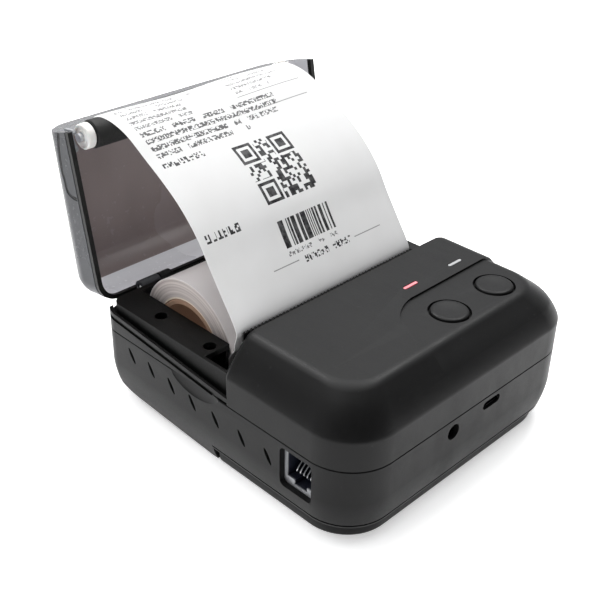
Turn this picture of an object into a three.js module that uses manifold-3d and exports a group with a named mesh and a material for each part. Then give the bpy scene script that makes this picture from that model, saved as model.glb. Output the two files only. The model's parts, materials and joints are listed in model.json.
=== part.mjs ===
// A hand-sized thermal receipt printer with its paper lid standing open.
// Millimetres, +Z up, +X to the right as seen from the front, -Y towards the front.
// The origin is on the underside, below the middle of the housing.
import * as THREE from 'three';
import { mergeVertices } from 'three/addons/utils/BufferGeometryUtils.js';
import Module from 'manifold-3d';

const wasm = await Module();
wasm.setup();

// ---------------------------------------------------------------- driving dimensions
const WIDTH = 109.8;
const DEPTH = 115.5;
const HALF_WIDTH = WIDTH / 2;
const FRONT_Y = -DEPTH / 2;
const REAR_Y = DEPTH / 2;
const FRONT_CORNER = 16.7;
const REAR_CORNER = 7;
const WALL = 2;
const GAP = 0.3;
const SEAM_Z = 28.25;
const CREASE_Z = 38.5;
const TOP_Z = 50.6;
const SHOULDER = 9.4;
const SHOULDER_BULGE = 1.5;
const FLARE_Z = 16;
const BASE_INSET = 3.7;
const DECK_REAR_Y = -5.15;
const DECK_REAR_WALL = 1.6;
const LID_FRONT_Y = -1.6;

const PAPER_WIDTH = 79.5;
const STRIP_LEFT_X = -48.1;
const STRIP_RIGHT_X = STRIP_LEFT_X + PAPER_WIDTH;
const ROLL_LEFT_X = -41;
const ROLL_RIGHT_X = ROLL_LEFT_X + PAPER_WIDTH;
const ROLL_Y = 28.8;
const ROLL_Z = 28.9;
const ROLL_RADIUS = 22;
const CORE_OUTER = 14.6;
const CORE_INNER = 13;

const RAIL_TOP_Z = 38.2;
const RAIL_INSET = 2.1;
const RAIL_WALL = 1.8;
const BAY_LEFT_X = ROLL_LEFT_X - 0.6;
const BAY_RIGHT_X = ROLL_RIGHT_X + 0.6;
const BAY_REAR_Y = 52.4;
const TUB_RADIUS = ROLL_RADIUS + 0.9;
const TUB_WALL = 1.4;
const TUB_TOP_Z = 35.8;

const HINGE_Y = 57.2;
const HINGE_Z = 36.2;
const LID_SLOPE_DEG = 4.7;
const LID_OPEN_DEG = 104.7;
const LID_WALL = 1.8;
const LID_CREASE = 8;
const LID_DEPTH = 19.3;
const LID_BULGE = 2;
const LID_REAR = 0.5;
const GASKET = 2;
const KNUCKLE_RADIUS = 2.5;
const PIN_RADIUS = 1;
const KNUCKLE_CENTRES = [-34, 34];

const PLATEN_REACH = 56.3;
const PLATEN_RISE = 0.5;
const PLATEN_RADIUS = 4.7;
const PLATEN_LEFT_X = -46.6;
const PLATEN_RIGHT_X = 32.6;
const PLATEN_SHAFT = 1.5;
const BUSH_RADIUS = 4.2;
const GEAR_MODULE = 0.6;
const PLATEN_TEETH = 16;
const IDLER_TEETH = 24;
const PINION_TEETH = 12;
const MESH_SLACK = 0.1;
const GEAR_X = [37, 40];

const BUTTON_RADIUS = 6.45;
const BUTTON_HOLE = 6.9;
const BUTTON_TRAVEL = 0.8;
const BUTTON_CENTRES = [[8.8, -38.7], [32.2, -38.6]];
const LIGHT_CENTRES = [[11.2, -20.8], [33.6, -21.3]];
const LIGHT_SIZE = [6.4, 1.3];
const PANEL_DEPTH = 0.4;

const DC_JACK = { x: -9.6, z: 23.4, hole: 2.7 };
const USB = { x: 9.3, z: 25, width: 8.9, height: 3.2 };
const SERIAL = { y: -35.6, z: 19.2, width: 13, height: 14.4 };
const VENT_STARTS = [
  [43.5, 25.1], [33.2, 24.6], [22.9, 23.6], [12.4, 22.6], [1.3, 22.1], [-10.8, 21.9], [-22.4, 21.8],
];
const VENT_RUN = 3;
const VENT_DROP = 4.8;

// ---------------------------------------------------------------- geometry helpers
const rad = THREE.MathUtils.degToRad;

/** Turns a closed three.js geometry into a solid that can be joined and cut. */
function solid(geometry) {
  const plain = geometry.clone();
  plain.deleteAttribute('normal');
  plain.deleteAttribute('uv');
  const merged = mergeVertices(plain, 1e-4);
  const vertProperties = new Float32Array(merged.attributes.position.array);
  const triVerts = new Uint32Array(merged.index.array);
  return new wasm.Manifold(new wasm.Mesh({ numProp: 3, vertProperties, triVerts }));
}

/** Turns a solid back into a flat-shaded three.js geometry. */
function toGeometry(body) {
  const mesh = body.getMesh();
  const geometry = new THREE.BufferGeometry();
  geometry.setAttribute('position', new THREE.BufferAttribute(new Float32Array(mesh.vertProperties), 3));
  geometry.setIndex(new THREE.BufferAttribute(new Uint32Array(mesh.triVerts), 1));
  geometry.computeVertexNormals();
  return geometry;
}

/** A box between two corners. */
function box(x0, x1, y0, y1, z0, z1) {
  const geometry = new THREE.BoxGeometry(x1 - x0, y1 - y0, z1 - z0);
  geometry.translate((x0 + x1) / 2, (y0 + y1) / 2, (z0 + z1) / 2);
  return solid(geometry);
}

/** Extrudes a 2-D outline along one axis; its two coordinates are the other two axes in order. */
function prism(outline, axis, from, to) {
  const shape = new THREE.Shape(outline.map(([a, b]) => new THREE.Vector2(a, b)));
  const geometry = new THREE.ExtrudeGeometry(shape, { depth: to - from, bevelEnabled: false, steps: 1 });
  geometry.translate(0, 0, from);
  if (axis === 'x') {
    geometry.applyMatrix4(new THREE.Matrix4().set(0, 0, 1, 0, 1, 0, 0, 0, 0, 1, 0, 0, 0, 0, 0, 1));
  }
  if (axis === 'y') {
    geometry.translate(0, 0, -from - to);
    geometry.applyMatrix4(new THREE.Matrix4().set(1, 0, 0, 0, 0, 0, -1, 0, 0, 1, 0, 0, 0, 0, 0, 1));
  }
  return solid(geometry);
}

/** A circle as a list of points. */
function circle(centreA, centreB, radius, sides) {
  return Array.from({ length: sides }, (_, i) => {
    const angle = ((i + 0.5) * 2 * Math.PI) / sides;
    return [centreA + radius * Math.cos(angle), centreB + radius * Math.sin(angle)];
  });
}

/** A cylinder along an axis, from one coordinate on that axis to another. */
function rod(axis, centre, radius, from, to, sides = 20) {
  return prism(circle(centre[0], centre[1], radius, sides), axis, from, to);
}

/** A rounded rectangle with its own radius at the front and at the rear, as points. */
function roundedPlan(halfWidth, frontY, rearY, frontRadius, rearRadius, steps = 8) {
  const corners = [
    [halfWidth - rearRadius, rearY - rearRadius, rearRadius, 0],
    [-halfWidth + rearRadius, rearY - rearRadius, rearRadius, 90],
    [-halfWidth + frontRadius, frontY + frontRadius, frontRadius, 180],
    [halfWidth - frontRadius, frontY + frontRadius, frontRadius, 270],
  ];
  const points = [];
  for (const [x, y, radius, start] of corners) {
    for (let i = 0; i <= steps; i += 1) {
      const angle = rad(start + (90 * i) / steps);
      points.push([x + radius * Math.cos(angle), y + radius * Math.sin(angle)]);
    }
  }
  return points;
}

/** Joins a stack of outlines, each with the same number of points, into one closed solid. */
function loft(sections) {
  const count = sections[0].points.length;
  const positions = sections.flatMap(({ z, points }) => points.flatMap(([x, y]) => [x, y, z]));
  const index = [];
  for (let s = 0; s + 1 < sections.length; s += 1) {
    for (let i = 0; i < count; i += 1) {
      const a = s * count + i;
      const b = s * count + ((i + 1) % count);
      index.push(a, b, a + count, b, b + count, a + count);
    }
  }
  const flat = sections[0].points.map(([x, y]) => new THREE.Vector2(x, y));
  const last = (sections.length - 1) * count;
  for (const [a, b, c] of THREE.ShapeUtils.triangulateShape(flat, [])) {
    index.push(a, c, b, last + a, last + b, last + c);
  }
  const geometry = new THREE.BufferGeometry();
  geometry.setAttribute('position', new THREE.Float32BufferAttribute(positions, 3));
  geometry.setIndex(index);
  return solid(geometry);
}

/** A rounded rectangle centred on a point, as points. */
function roundedBox(centreA, centreB, width, height, radius, steps = 4) {
  return roundedPlan(width / 2, -height / 2, height / 2, radius, radius, steps)
    .map(([a, b]) => [a + centreA, b + centreB]);
}

/** A spur gear's outline with tapered teeth. */
function gearOutline(teeth, centre, phase) {
  const pitch = (GEAR_MODULE * teeth) / 2;
  const root = pitch - 1.2 * GEAR_MODULE;
  const tip = pitch + 0.9 * GEAR_MODULE;
  const step = (2 * Math.PI) / teeth;
  const points = [];
  for (let i = 0; i < teeth; i += 1) {
    const middle = i * step + phase;
    for (const [radius, share] of [[root, -0.33], [tip, -0.11], [tip, 0.11], [root, 0.33]]) {
      const angle = middle + share * step;
      points.push([centre[0] + radius * Math.cos(angle), centre[1] + radius * Math.sin(angle)]);
    }
  }
  return points;
}

/** A spur gear with a bore, turning about X. */
function gear(teeth, centre, phase, bore) {
  const [from, to] = GEAR_X;
  return prism(gearOutline(teeth, centre, phase), 'x', from, to)
    .subtract(rod('x', centre, bore, from - 1, to + 1, 16));
}

/** The name and sign of X for pieces that appear left and right. */
const bothSides = [['left', -1], ['right', 1]];

// ---------------------------------------------------------------- materials and scene
const finishes = {
  matteBlack: { color: 0x2b2b2d, roughness: 0.55, metalness: 0 },
  darkFrame: { color: 0x1c1c1e, roughness: 0.7, metalness: 0 },
  buttonBlack: { color: 0x303032, roughness: 0.5, metalness: 0 },
  smoke: { color: 0x75797d, roughness: 0.15, metalness: 0, transparent: true, opacity: 0.75 },
  rubber: { color: 0x111112, roughness: 0.85, metalness: 0 },
  whitePlastic: { color: 0xe8e6e2, roughness: 0.45, metalness: 0 },
  greyPlastic: { color: 0x8b8d90, roughness: 0.5, metalness: 0 },
  steel: { color: 0xb9bcc0, roughness: 0.3, metalness: 1 },
  aluminium: { color: 0xc8cacc, roughness: 0.4, metalness: 1 },
  ceramic: { color: 0xd8d4ca, roughness: 0.3, metalness: 0 },
  board: { color: 0x1f5a3a, roughness: 0.5, metalness: 0 },
  flex: { color: 0xb06a24, roughness: 0.4, metalness: 0 },
  battery: { color: 0x2f5f9e, roughness: 0.5, metalness: 0 },
  redLight: { color: 0xff2a1c, roughness: 0.3, metalness: 0, emissive: 0xff2010, emissiveIntensity: 1 },
  whiteLight: { color: 0xf2f5f6, roughness: 0.3, metalness: 0, emissive: 0xffffff, emissiveIntensity: 0.5 },
  paper: { color: 0xf4f3f1, roughness: 0.75, metalness: 0 },
  cardboard: { color: 0x8a6a4a, roughness: 0.9, metalness: 0 },
};

const printer = new THREE.Group();
const lid = new THREE.Group();
lid.position.set(0, HINGE_Y, HINGE_Z);
lid.rotation.x = rad(LID_SLOPE_DEG - LID_OPEN_DEG);
printer.add(lid);

function add(parent, name, body, finish) {
  const mesh = new THREE.Mesh(toGeometry(body), new THREE.MeshStandardMaterial(finishes[finish]));
  mesh.name = name;
  parent.add(mesh);
  return mesh;
}

// ---------------------------------------------------------------- outer form of the housing
/** How far the lower wall has drawn in at a height: straight above FLARE_Z, curving in below it. */
function lowerInset(z) {
  return z >= FLARE_Z ? 0 : BASE_INSET * ((FLARE_Z - z) / FLARE_Z) ** 1.8;
}

/** The housing's plan at an inset from its widest outline. */
function housingPlan(inset) {
  return roundedPlan(
    HALF_WIDTH - inset,
    FRONT_Y + inset,
    REAR_Y - inset,
    Math.max(FRONT_CORNER - 0.55 * inset, 1),
    Math.max(REAR_CORNER - 0.55 * inset, 1),
  );
}

/** The side profile that lifts the underside towards the rear, in Y and Z. */
function sweepProfile(offset) {
  const rear = REAR_Y - offset;
  const curve = [];
  for (let i = 0; i <= 8; i += 1) {
    const angle = rad((90 * i) / 8);
    curve.push([rear - 17 + 17 * Math.cos(angle), 19 + offset - 15.6 * Math.sin(angle)]);
  }
  return [
    [FRONT_Y - 5, 60],
    [FRONT_Y - 5, offset],
    [6, offset],
    ...curve.reverse(),
    [rear, 60],
  ];
}

/** The lower housing as a filled form, drawn in by an offset. */
function lowerForm(offset, top) {
  const heights = [0, 2, 5, 8, 12, FLARE_Z, top];
  const form = loft(heights.map((z) => ({ z, points: housingPlan(lowerInset(z) + offset) })));
  return form.intersect(prism(sweepProfile(offset), 'x', -60, 60));
}

/** Inset of the sloping shoulder at a share of its height, with a slight outward swell. */
function shoulderInset(share, run, swell) {
  return run * share - swell * 4 * share * (1 - share) * 0.8;
}

/** The upper housing in front of the lid, as a filled form. */
function deckForm(offset, bottom, top) {
  const sections = [{ z: bottom, points: housingPlan(offset) }];
  for (let i = 0; i <= 5; i += 1) {
    const share = i / 5;
    const z = CREASE_Z + (top - CREASE_Z) * share;
    sections.push({ z, points: housingPlan(offset + shoulderInset(share, SHOULDER, SHOULDER_BULGE)) });
  }
  return loft(sections);
}

/** The half space below the sloping ledge that the lid's seal lands on. */
function belowLedge() {
  const slope = Math.tan(rad(LID_SLOPE_DEG));
  const ledge = (y) => HINGE_Z - GAP - (HINGE_Y - y) * slope;
  return prism([[-70, 20], [70, 20], [70, ledge(70)], [-70, ledge(-70)]], 'x', -60, 60);
}

// ---------------------------------------------------------------- housing shells
function ventCuts() {
  const cuts = VENT_STARTS.map(([y, z]) => {
    const upper = [[y + 0.5, z], [y - 0.5, z + 0.4]];
    const lower = [[y - VENT_RUN - 0.5, z - VENT_DROP], [y - VENT_RUN + 0.5, z - VENT_DROP - 0.4]];
    return prism([...upper, ...lower], 'x', -HALF_WIDTH - 2, -HALF_WIDTH + 1.2);
  });
  return cuts.reduce((all, cut) => all.add(cut));
}

function portCuts() {
  const dc = rod('y', [DC_JACK.x, DC_JACK.z], DC_JACK.hole, FRONT_Y - 2, FRONT_Y + 4);
  const usbMouth = roundedBox(USB.x, USB.z, USB.width - 0.3, USB.height - 0.2, 1.4);
  const usb = prism(usbMouth, 'y', FRONT_Y - 2, FRONT_Y + 4);
  const serial = prism(roundedBox(SERIAL.y, SERIAL.z, SERIAL.width, SERIAL.height, 1.6), 'x', -60, -50);
  return dc.add(usb).add(serial);
}

/** The shallow finger scoop below the seam on the left, for lifting the lid. */
function fingerScoop() {
  const scoop = new THREE.SphereGeometry(1, 20, 12);
  scoop.scale(1.6, 12, 7);
  scoop.translate(-HALF_WIDTH - 0.2, 9.5, SEAM_Z + 1);
  return solid(scoop);
}

function lowerShell() {
  const top = SEAM_Z - GAP / 2;
  const basePocket = box(-60, 60, FRONT_Y - 2, 3.4, -1, 5.4);
  const frontFloor = box(-60, 60, FRONT_Y - 2, 5.4, -1, 7.4);
  const cavity = lowerForm(WALL, top + 5).subtract(frontFloor);
  const outer = lowerForm(0, top).subtract(basePocket);
  return outer.subtract(cavity).subtract(ventCuts()).subtract(portCuts()).subtract(fingerScoop());
}

function bayCut() {
  const main = box(BAY_LEFT_X, BAY_RIGHT_X, DECK_REAR_Y, BAY_REAR_Y, 20, 60);
  const nip = box(-51.6, 44, DECK_REAR_Y, 7.6, 20, 60);
  const headRoom = box(-50.6, 44, DECK_REAR_Y - 3, DECK_REAR_Y + 1, 20, 39);
  return main.add(nip).add(headRoom);
}

function railHoles() {
  return rod('z', [-46.9, 35.2], 2.1, 30, 45, 16).add(rod('z', [-46.9, 10.9], 2.1, 30, 45, 16));
}

function deckCuts() {
  const buttons = BUTTON_CENTRES.map((centre) => rod('z', centre, BUTTON_HOLE, 45, 55, 32));
  const lights = LIGHT_CENTRES.map(([x, y]) => prism(
    roundedBox(x, y, LIGHT_SIZE[0] + 0.6, LIGHT_SIZE[1] + 0.6, 0.9),
    'z', 45, 55,
  ));
  return [...buttons, ...lights].reduce((all, cut) => all.add(cut));
}

/** The panel around the buttons sits a little lower than the rest of the deck. */
function panelRecess() {
  const shape = new THREE.Shape();
  shape.moveTo(60, -26);
  shape.lineTo(5, -26);
  shape.quadraticCurveTo(-3, -27.2, -8.4, -33.5);
  shape.quadraticCurveTo(-12.5, -39, -12.8, -60);
  shape.lineTo(60, -60);
  const outline = shape.getPoints(6).slice(0, -1).map(({ x, y }) => [x, y]);
  return prism(outline.reverse(), 'z', TOP_Z - PANEL_DEPTH, TOP_Z + 2);
}

function hingeLug(centre) {
  const lug = rod('x', [HINGE_Y, HINGE_Z], KNUCKLE_RADIUS, centre + 3.3, centre + 8, 20);
  const web = box(centre + 3.3, centre + 8, HINGE_Y - 2.4, HINGE_Y + 0.5, 31, HINGE_Z - 0.6);
  return lug.add(web);
}

/** The outer shell: the deck in front, and behind it a low rim that the lid's seal lands on. */
function topShell() {
  const bottom = SEAM_Z + GAP / 2;
  const deckBlock = box(-60, 60, FRONT_Y - 2, DECK_REAR_Y, 20, 60);
  const deckHollow = deckForm(WALL, bottom - 1, TOP_Z - WALL)
    .intersect(box(-60, 60, -60, DECK_REAR_Y - DECK_REAR_WALL, 20, 60));
  const deck = deckForm(0, bottom, TOP_Z).intersect(deckBlock).subtract(deckHollow);
  const rimOuter = loft([bottom, 45].map((z) => ({ z, points: housingPlan(0) }))).intersect(belowLedge());
  const rimInner = loft([bottom - 1, 46].map((z) => ({ z, points: railPlan(GAP) })));
  const hingeRelief = box(-60, 60, HINGE_Y - 2.3, 60, HINGE_Z - 2.6, 60);
  const rim = rimOuter.subtract(rimInner).subtract(hingeRelief)
    .intersect(box(-60, 60, DECK_REAR_Y - 1, 60, 20, 60));
  let shell = deck.add(rim).subtract(bayCut()).subtract(deckCuts()).subtract(panelRecess());
  for (const centre of KNUCKLE_CENTRES) shell = shell.add(hingeLug(centre));
  for (const centre of KNUCKLE_CENTRES) {
    shell = shell.subtract(rod('x', [HINGE_Y, HINGE_Z], PIN_RADIUS + 0.15, centre - 10, centre + 10, 16));
    shell = shell.subtract(rod('x', [HINGE_Y, HINGE_Z], KNUCKLE_RADIUS + 0.3, centre - 5.3, centre + 3, 20));
  }
  return shell;
}

/** The outline of the frame round the paper bay, grown by a clearance. */
function railPlan(clearance) {
  const half = HALF_WIDTH - RAIL_INSET + clearance;
  return roundedPlan(half, FRONT_Y + 20, BAY_REAR_Y + 2.2 + clearance, 3, 4 + clearance);
}

/** The darker inner frame round the paper bay: a rail on each side and a strip at the rear. */
function bayFrame() {
  const bottom = SEAM_Z + GAP / 2;
  const rails = loft([bottom, RAIL_TOP_Z].map((z) => ({ z, points: railPlan(0) })));
  const behindDeck = box(-60, 60, DECK_REAR_Y + GAP, 60, 20, 60);
  const reach = HALF_WIDTH - RAIL_INSET - RAIL_WALL;
  const underside = box(-reach, reach, DECK_REAR_Y - 4, BAY_REAR_Y + 1, 20, RAIL_TOP_Z - 2);
  return rails.intersect(behindDeck).subtract(underside).subtract(bayCut()).subtract(railHoles());
}

function basePlate() {
  const plan = (inset) => roundedPlan(HALF_WIDTH - inset, FRONT_Y + inset, 3.1, 15.4, 1.5);
  const levels = [[0, 3.9], [1.2, 3.4], [5.1, 3.1]];
  let plate = loft(levels.map(([z, inset]) => ({ z, points: plan(inset) })));
  for (const [x, y] of baseScrewPlaces()) {
    plate = plate.subtract(rod('z', [x, y], 3, -1, 3.2, 20));
    plate = plate.subtract(rod('z', [x, y], 1.5, 3, 6, 16));
  }
  for (const [, side] of bothSides) {
    plate = plate.subtract(rod('z', [side * 30, -46], 5.3, -1, 1.6, 24));
  }
  return plate;
}

function baseScrewPlaces() {
  return [[-42, -40], [42, -40], [-42, -4], [42, -4]];
}

function baseScrew([x, y]) {
  const head = rod('z', [x, y], 2.6, 1.2, 2.9, 20);
  const shank = rod('z', [x, y], 1.2, 2.9, 5.2, 12);
  const slot = box(x - 1.6, x + 1.6, y - 0.35, y + 0.35, 0.8, 1.9);
  return head.add(shank).subtract(slot);
}

function paperTub() {
  const outerRadius = TUB_RADIUS + TUB_WALL;
  const leftX = BAY_LEFT_X - TUB_WALL;
  const rightX = BAY_RIGHT_X + TUB_WALL;
  const lower = rod('x', [ROLL_Y, ROLL_Z], outerRadius, leftX, rightX, 40);
  const upper = box(leftX, rightX, ROLL_Y - outerRadius, ROLL_Y + outerRadius, ROLL_Z, TUB_TOP_Z);
  const inner = rod('x', [ROLL_Y, ROLL_Z], TUB_RADIUS, BAY_LEFT_X, BAY_RIGHT_X, 40);
  const innerTop = box(BAY_LEFT_X, BAY_RIGHT_X, ROLL_Y - TUB_RADIUS, ROLL_Y + TUB_RADIUS, ROLL_Z, 60);
  const headroom = box(-60, 60, -60, 60, TUB_TOP_Z, 60);
  const frontDip = box(-60, 60, -10, 7.8, 25, 60);
  return lower.add(upper).subtract(inner).subtract(innerTop).subtract(headroom).subtract(frontDip);
}

// ---------------------------------------------------------------- lid, in its own hinge frame
/** The lid's plan at an inset: x across, y from the hinge (0) to the free edge (negative). */
function lidPlan(inset) {
  const cornerRadius = Math.max(REAR_CORNER - 0.5 * inset, 1);
  return roundedPlan(HALF_WIDTH - inset, -75, LID_REAR - inset * 0.75, 1, cornerRadius);
}

function lidForm(offset, bottom) {
  const sections = [{ z: bottom, points: lidPlan(offset) }];
  for (let i = 0; i <= 5; i += 1) {
    const share = i / 5;
    const z = LID_CREASE + (LID_DEPTH - offset - LID_CREASE) * share;
    sections.push({ z, points: lidPlan(offset + shoulderInset(share, SHOULDER, LID_BULGE)) });
  }
  return loft(sections);
}

/** Everything behind the vertical plane of the closed lid's front edge, in the hinge frame. */
function behindFrontEdge(reach) {
  const slope = rad(LID_SLOPE_DEG);
  const front = reach / Math.cos(slope);
  const lean = Math.tan(slope);
  return prism([[-front - 30 * lean, -30], [20, -30], [20, 40], [-front + 40 * lean, 40]], 'x', -60, 60);
}

const LID_REACH = HINGE_Y - LID_FRONT_Y;

function lidKnuckles(shell) {
  let result = shell;
  for (const centre of KNUCKLE_CENTRES) {
    result = result.subtract(rod('x', [0, 0], KNUCKLE_RADIUS + 0.6, centre - 5.6, centre + 8.4, 20));
  }
  for (const centre of KNUCKLE_CENTRES) {
    const barrel = rod('x', [0, 0], KNUCKLE_RADIUS, centre - 5, centre + 2.7, 20);
    const arm = box(centre - 5, centre + 2.7, -LID_WALL + LID_REAR, LID_REAR, 0.5, 5);
    result = result.add(arm.subtract(rod('x', [0, 0], PIN_RADIUS + 0.5, -60, 60, 16))).add(barrel);
  }
  return result.subtract(rod('x', [0, 0], PIN_RADIUS + 0.15, -60, 60, 16));
}

function lidShell() {
  const outer = lidForm(0, GASKET).intersect(behindFrontEdge(LID_REACH));
  const inner = lidForm(LID_WALL, GASKET - 1).intersect(behindFrontEdge(LID_REACH - LID_WALL));
  const insideX = HALF_WIDTH - LID_WALL;
  const platenMouth = box(-insideX, insideX, -70, -55, -5, 8.6);
  return lidKnuckles(outer.subtract(inner).subtract(platenMouth));
}

function lidGasket() {
  const top = GASKET - GAP;
  const ring = (inset) => loft([0.2, top].map((z) => ({ z, points: lidPlan(inset) })));
  const outer = ring(0.1).intersect(behindFrontEdge(LID_REACH - 0.1));
  const inner = loft([-1, top + 1].map((z) => ({ z, points: lidPlan(LID_WALL) })));
  const openFront = outer.subtract(inner);
  const hingeGaps = KNUCKLE_CENTRES.map((centre) => box(centre - 6, centre + 8.8, -4, 4, -3, 6));
  const rear = hingeGaps.reduce((body, cut) => body.subtract(cut), openFront);
  const pieces = rear.decompose();
  return pieces;
}

/** The platen's place in the lid's hinge frame. */
const PLATEN = [-PLATEN_REACH, PLATEN_RISE];

/** The platen's place in the housing's frame when the lid is shut. */
function platenClosed() {
  const slope = rad(LID_SLOPE_DEG);
  return [
    HINGE_Y + PLATEN[0] * Math.cos(slope) - PLATEN[1] * Math.sin(slope),
    HINGE_Z + PLATEN[0] * Math.sin(slope) + PLATEN[1] * Math.cos(slope),
  ];
}

function bracket(from, to, footFrom, footTo) {
  const upright = prism([[-58.6, 1], [-51, 1], [-51, 7.7], [-58.6, 7.7]], 'x', from, to);
  const foot = box(footFrom, footTo, -58, -51.6, 6.9, 7.7);
  const plate = upright.add(foot);
  const ear = rod('x', PLATEN, 3.4, from, to, 20);
  return plate.add(ear).subtract(rod('x', PLATEN, PLATEN_SHAFT + 0.15, from - 1, to + 1, 16));
}

function platenBush(from, to) {
  return rod('x', PLATEN, BUSH_RADIUS, from, to, 28)
    .subtract(rod('x', PLATEN, PLATEN_SHAFT + 0.15, from - 1, to + 1, 16));
}

function frontTrim() {
  return prism([[-56.2, 8.4], [-55.3, 8.4], [-54.65, 16.2], [-55.55, 16.2]], 'x', -43, 43);
}

function buildLid() {
  add(lid, 'lid_shell', lidShell(), 'smoke');
  const seals = lidGasket().sort((a, b) => a.boundingBox().min[0] - b.boundingBox().min[0]);
  seals.forEach((seal, i) => add(lid, `lid_seal_${i + 1}`, seal, 'rubber'));
  add(lid, 'lid_edge_trim', frontTrim(), 'darkFrame');
  add(lid, 'platen_bracket_left', bracket(-51.4, -50.2, -52.9, -51.3), 'greyPlastic');
  add(lid, 'platen_bracket_right', bracket(40.6, 42.2, 42.1, 44), 'greyPlastic');
  add(lid, 'platen_bush_left', platenBush(-49.9, -46.9), 'whitePlastic');
  add(lid, 'platen_bush_right', platenBush(33, 36), 'whitePlastic');
  add(lid, 'platen_shaft', rod('x', PLATEN, PLATEN_SHAFT, -51.3, 42.1, 16), 'steel');
  const rubber = rod('x', PLATEN, PLATEN_RADIUS, PLATEN_LEFT_X, PLATEN_RIGHT_X, 32)
    .subtract(rod('x', PLATEN, PLATEN_SHAFT + 0.3, PLATEN_LEFT_X - 1, PLATEN_RIGHT_X + 1, 16));
  add(lid, 'platen_rubber', rubber, 'rubber');
  add(lid, 'platen_gear', gear(PLATEN_TEETH, PLATEN, platenGearPhase(), PLATEN_SHAFT + 0.3), 'whitePlastic');
}

// ---------------------------------------------------------------- feed drive
const IDLER_DIRECTION = rad(-115);
const PINION_DIRECTION = rad(204);

function idlerCentre() {
  const reach = (GEAR_MODULE * (PLATEN_TEETH + IDLER_TEETH)) / 2 + MESH_SLACK;
  const [y, z] = platenClosed();
  return [y + reach * Math.cos(IDLER_DIRECTION), z + reach * Math.sin(IDLER_DIRECTION)];
}

function pinionCentre() {
  const reach = (GEAR_MODULE * (PINION_TEETH + IDLER_TEETH)) / 2 + MESH_SLACK;
  const [y, z] = idlerCentre();
  return [y + reach * Math.cos(PINION_DIRECTION), z + reach * Math.sin(PINION_DIRECTION)];
}

/** With a tooth of the idler pointing at its neighbour, the neighbour shows it a gap. */
function platenGearPhase() {
  const towardsIdler = IDLER_DIRECTION - rad(LID_SLOPE_DEG);
  return towardsIdler + Math.PI / PLATEN_TEETH;
}

const IDLER_PHASE = IDLER_DIRECTION + Math.PI;

function pinionPhase() {
  const step = (2 * Math.PI) / IDLER_TEETH;
  const offset = (PINION_DIRECTION - IDLER_PHASE) / step;
  const lead = (offset - Math.round(offset)) * step;
  const back = PINION_DIRECTION + Math.PI;
  return back + Math.PI / PINION_TEETH + (lead * IDLER_TEETH) / PINION_TEETH;
}

function mechFrame() {
  const [platenY, platenZ] = platenClosed();
  const seatRadius = BUSH_RADIUS + 0.25;
  const bar = box(-49.2, 35.2, -11, -9.7, 31, 41.5);
  let frame = bar;
  for (const [from, to] of [[-49.2, -47.8], [33.8, 35.2]]) {
    const outline = [[-11, 9], [3.6, 9], [3.6, 12], [7, 24], [7, 36], [-4.6, 36], [-6, 41.5], [-11, 41.5]];
    const cheek = prism(outline, 'x', from, to);
    const slot = box(from - 1, to + 1, platenY - seatRadius, platenY + seatRadius, platenZ, 50);
    const seat = rod('x', [platenY, platenZ], seatRadius, from - 1, to + 1, 28);
    const shelfRelief = box(from - 1, to + 1, -7, 8, 35.6, 45);
    frame = frame.add(cheek.subtract(slot).subtract(seat).subtract(shelfRelief));
  }
  const stud = rod('x', idlerCentre(), 1.5, 33, 36, 16);
  const relief = rod('x', [ROLL_Y, ROLL_Z], TUB_RADIUS + TUB_WALL + 0.4, -60, 60, 40);
  return frame.subtract(stud).subtract(relief);
}

function idlerStud() {
  const centre = idlerCentre();
  const pin = rod('x', centre, 1.2, 32.8, 40.9, 16);
  const outerHead = rod('x', centre, 2.2, 40.3, 41.1, 16);
  const innerHead = rod('x', centre, 2.2, 32.4, 33.4, 16);
  return pin.add(outerHead).add(innerHead);
}

function stepperMotor() {
  const centre = pinionCentre();
  const can = rod('x', centre, 8.5, 42.2, 51.4, 32);
  const plate = prism(roundedBox(centre[0], centre[1], 17.4, 17.4, 4), 'x', 41.5, 42.4);
  const boss = rod('x', centre, 2.6, 41, 41.6, 20);
  return can.add(plate).add(boss).subtract(rod('x', centre, 1.35, 39, 43, 16));
}

function motorPinion() {
  const centre = pinionCentre();
  return gear(PINION_TEETH, centre, pinionPhase(), 0.2).add(rod('x', centre, 1, 36.6, 42.6, 16));
}

function printHead() {
  return box(-46, 32, -6.3, -4.7, 22.5, 37.5);
}

function headCeramic() {
  return box(-44.5, 30.5, -4.4, -3.9, 25, 35.5);
}

/** A compression spring behind the head, wound about Y. */
function headSpring(x) {
  const turns = 3.5;
  const steps = 28;
  const coilRadius = 1.7;
  const points = [];
  for (let i = 0; i <= steps; i += 1) {
    const angle = (i / steps) * turns * 2 * Math.PI;
    const across = x + coilRadius * Math.cos(angle);
    const height = 34.5 + coilRadius * Math.sin(angle);
    points.push(new THREE.Vector3(across, -9.2 + (i / steps) * 1.9, height));
  }
  const path = new THREE.CatmullRomCurve3(points);
  const wire = new THREE.Shape(circle(0, 0, 0.2, 5).map(([a, b]) => new THREE.Vector2(a, b)));
  return solid(new THREE.ExtrudeGeometry(wire, { steps: 42, extrudePath: path, bevelEnabled: false }));
}

function headFlex() {
  const outline = [[-7.4, 33], [-7.4, 29.5], [-14.5, 29.5], [-14.5, 29.2], [-7.1, 29.2], [-7.1, 33]];
  return prism(outline, 'x', -22, -10);
}

// ---------------------------------------------------------------- electronics
function mainBoard() {
  const plan = roundedPlan(47, FRONT_Y + 3.4, -12.6, 13, 1);
  let board = loft([27.2, 28.8].map((z) => ({ z, points: plan })));
  for (const [x, y] of boardScrewPlaces()) board = board.subtract(rod('z', [x, y], 1.5, 20, 30, 16));
  return board;
}

function boardScrewPlaces() {
  return [[-34, -20], [34, -24], [30, -49]];
}

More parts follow.
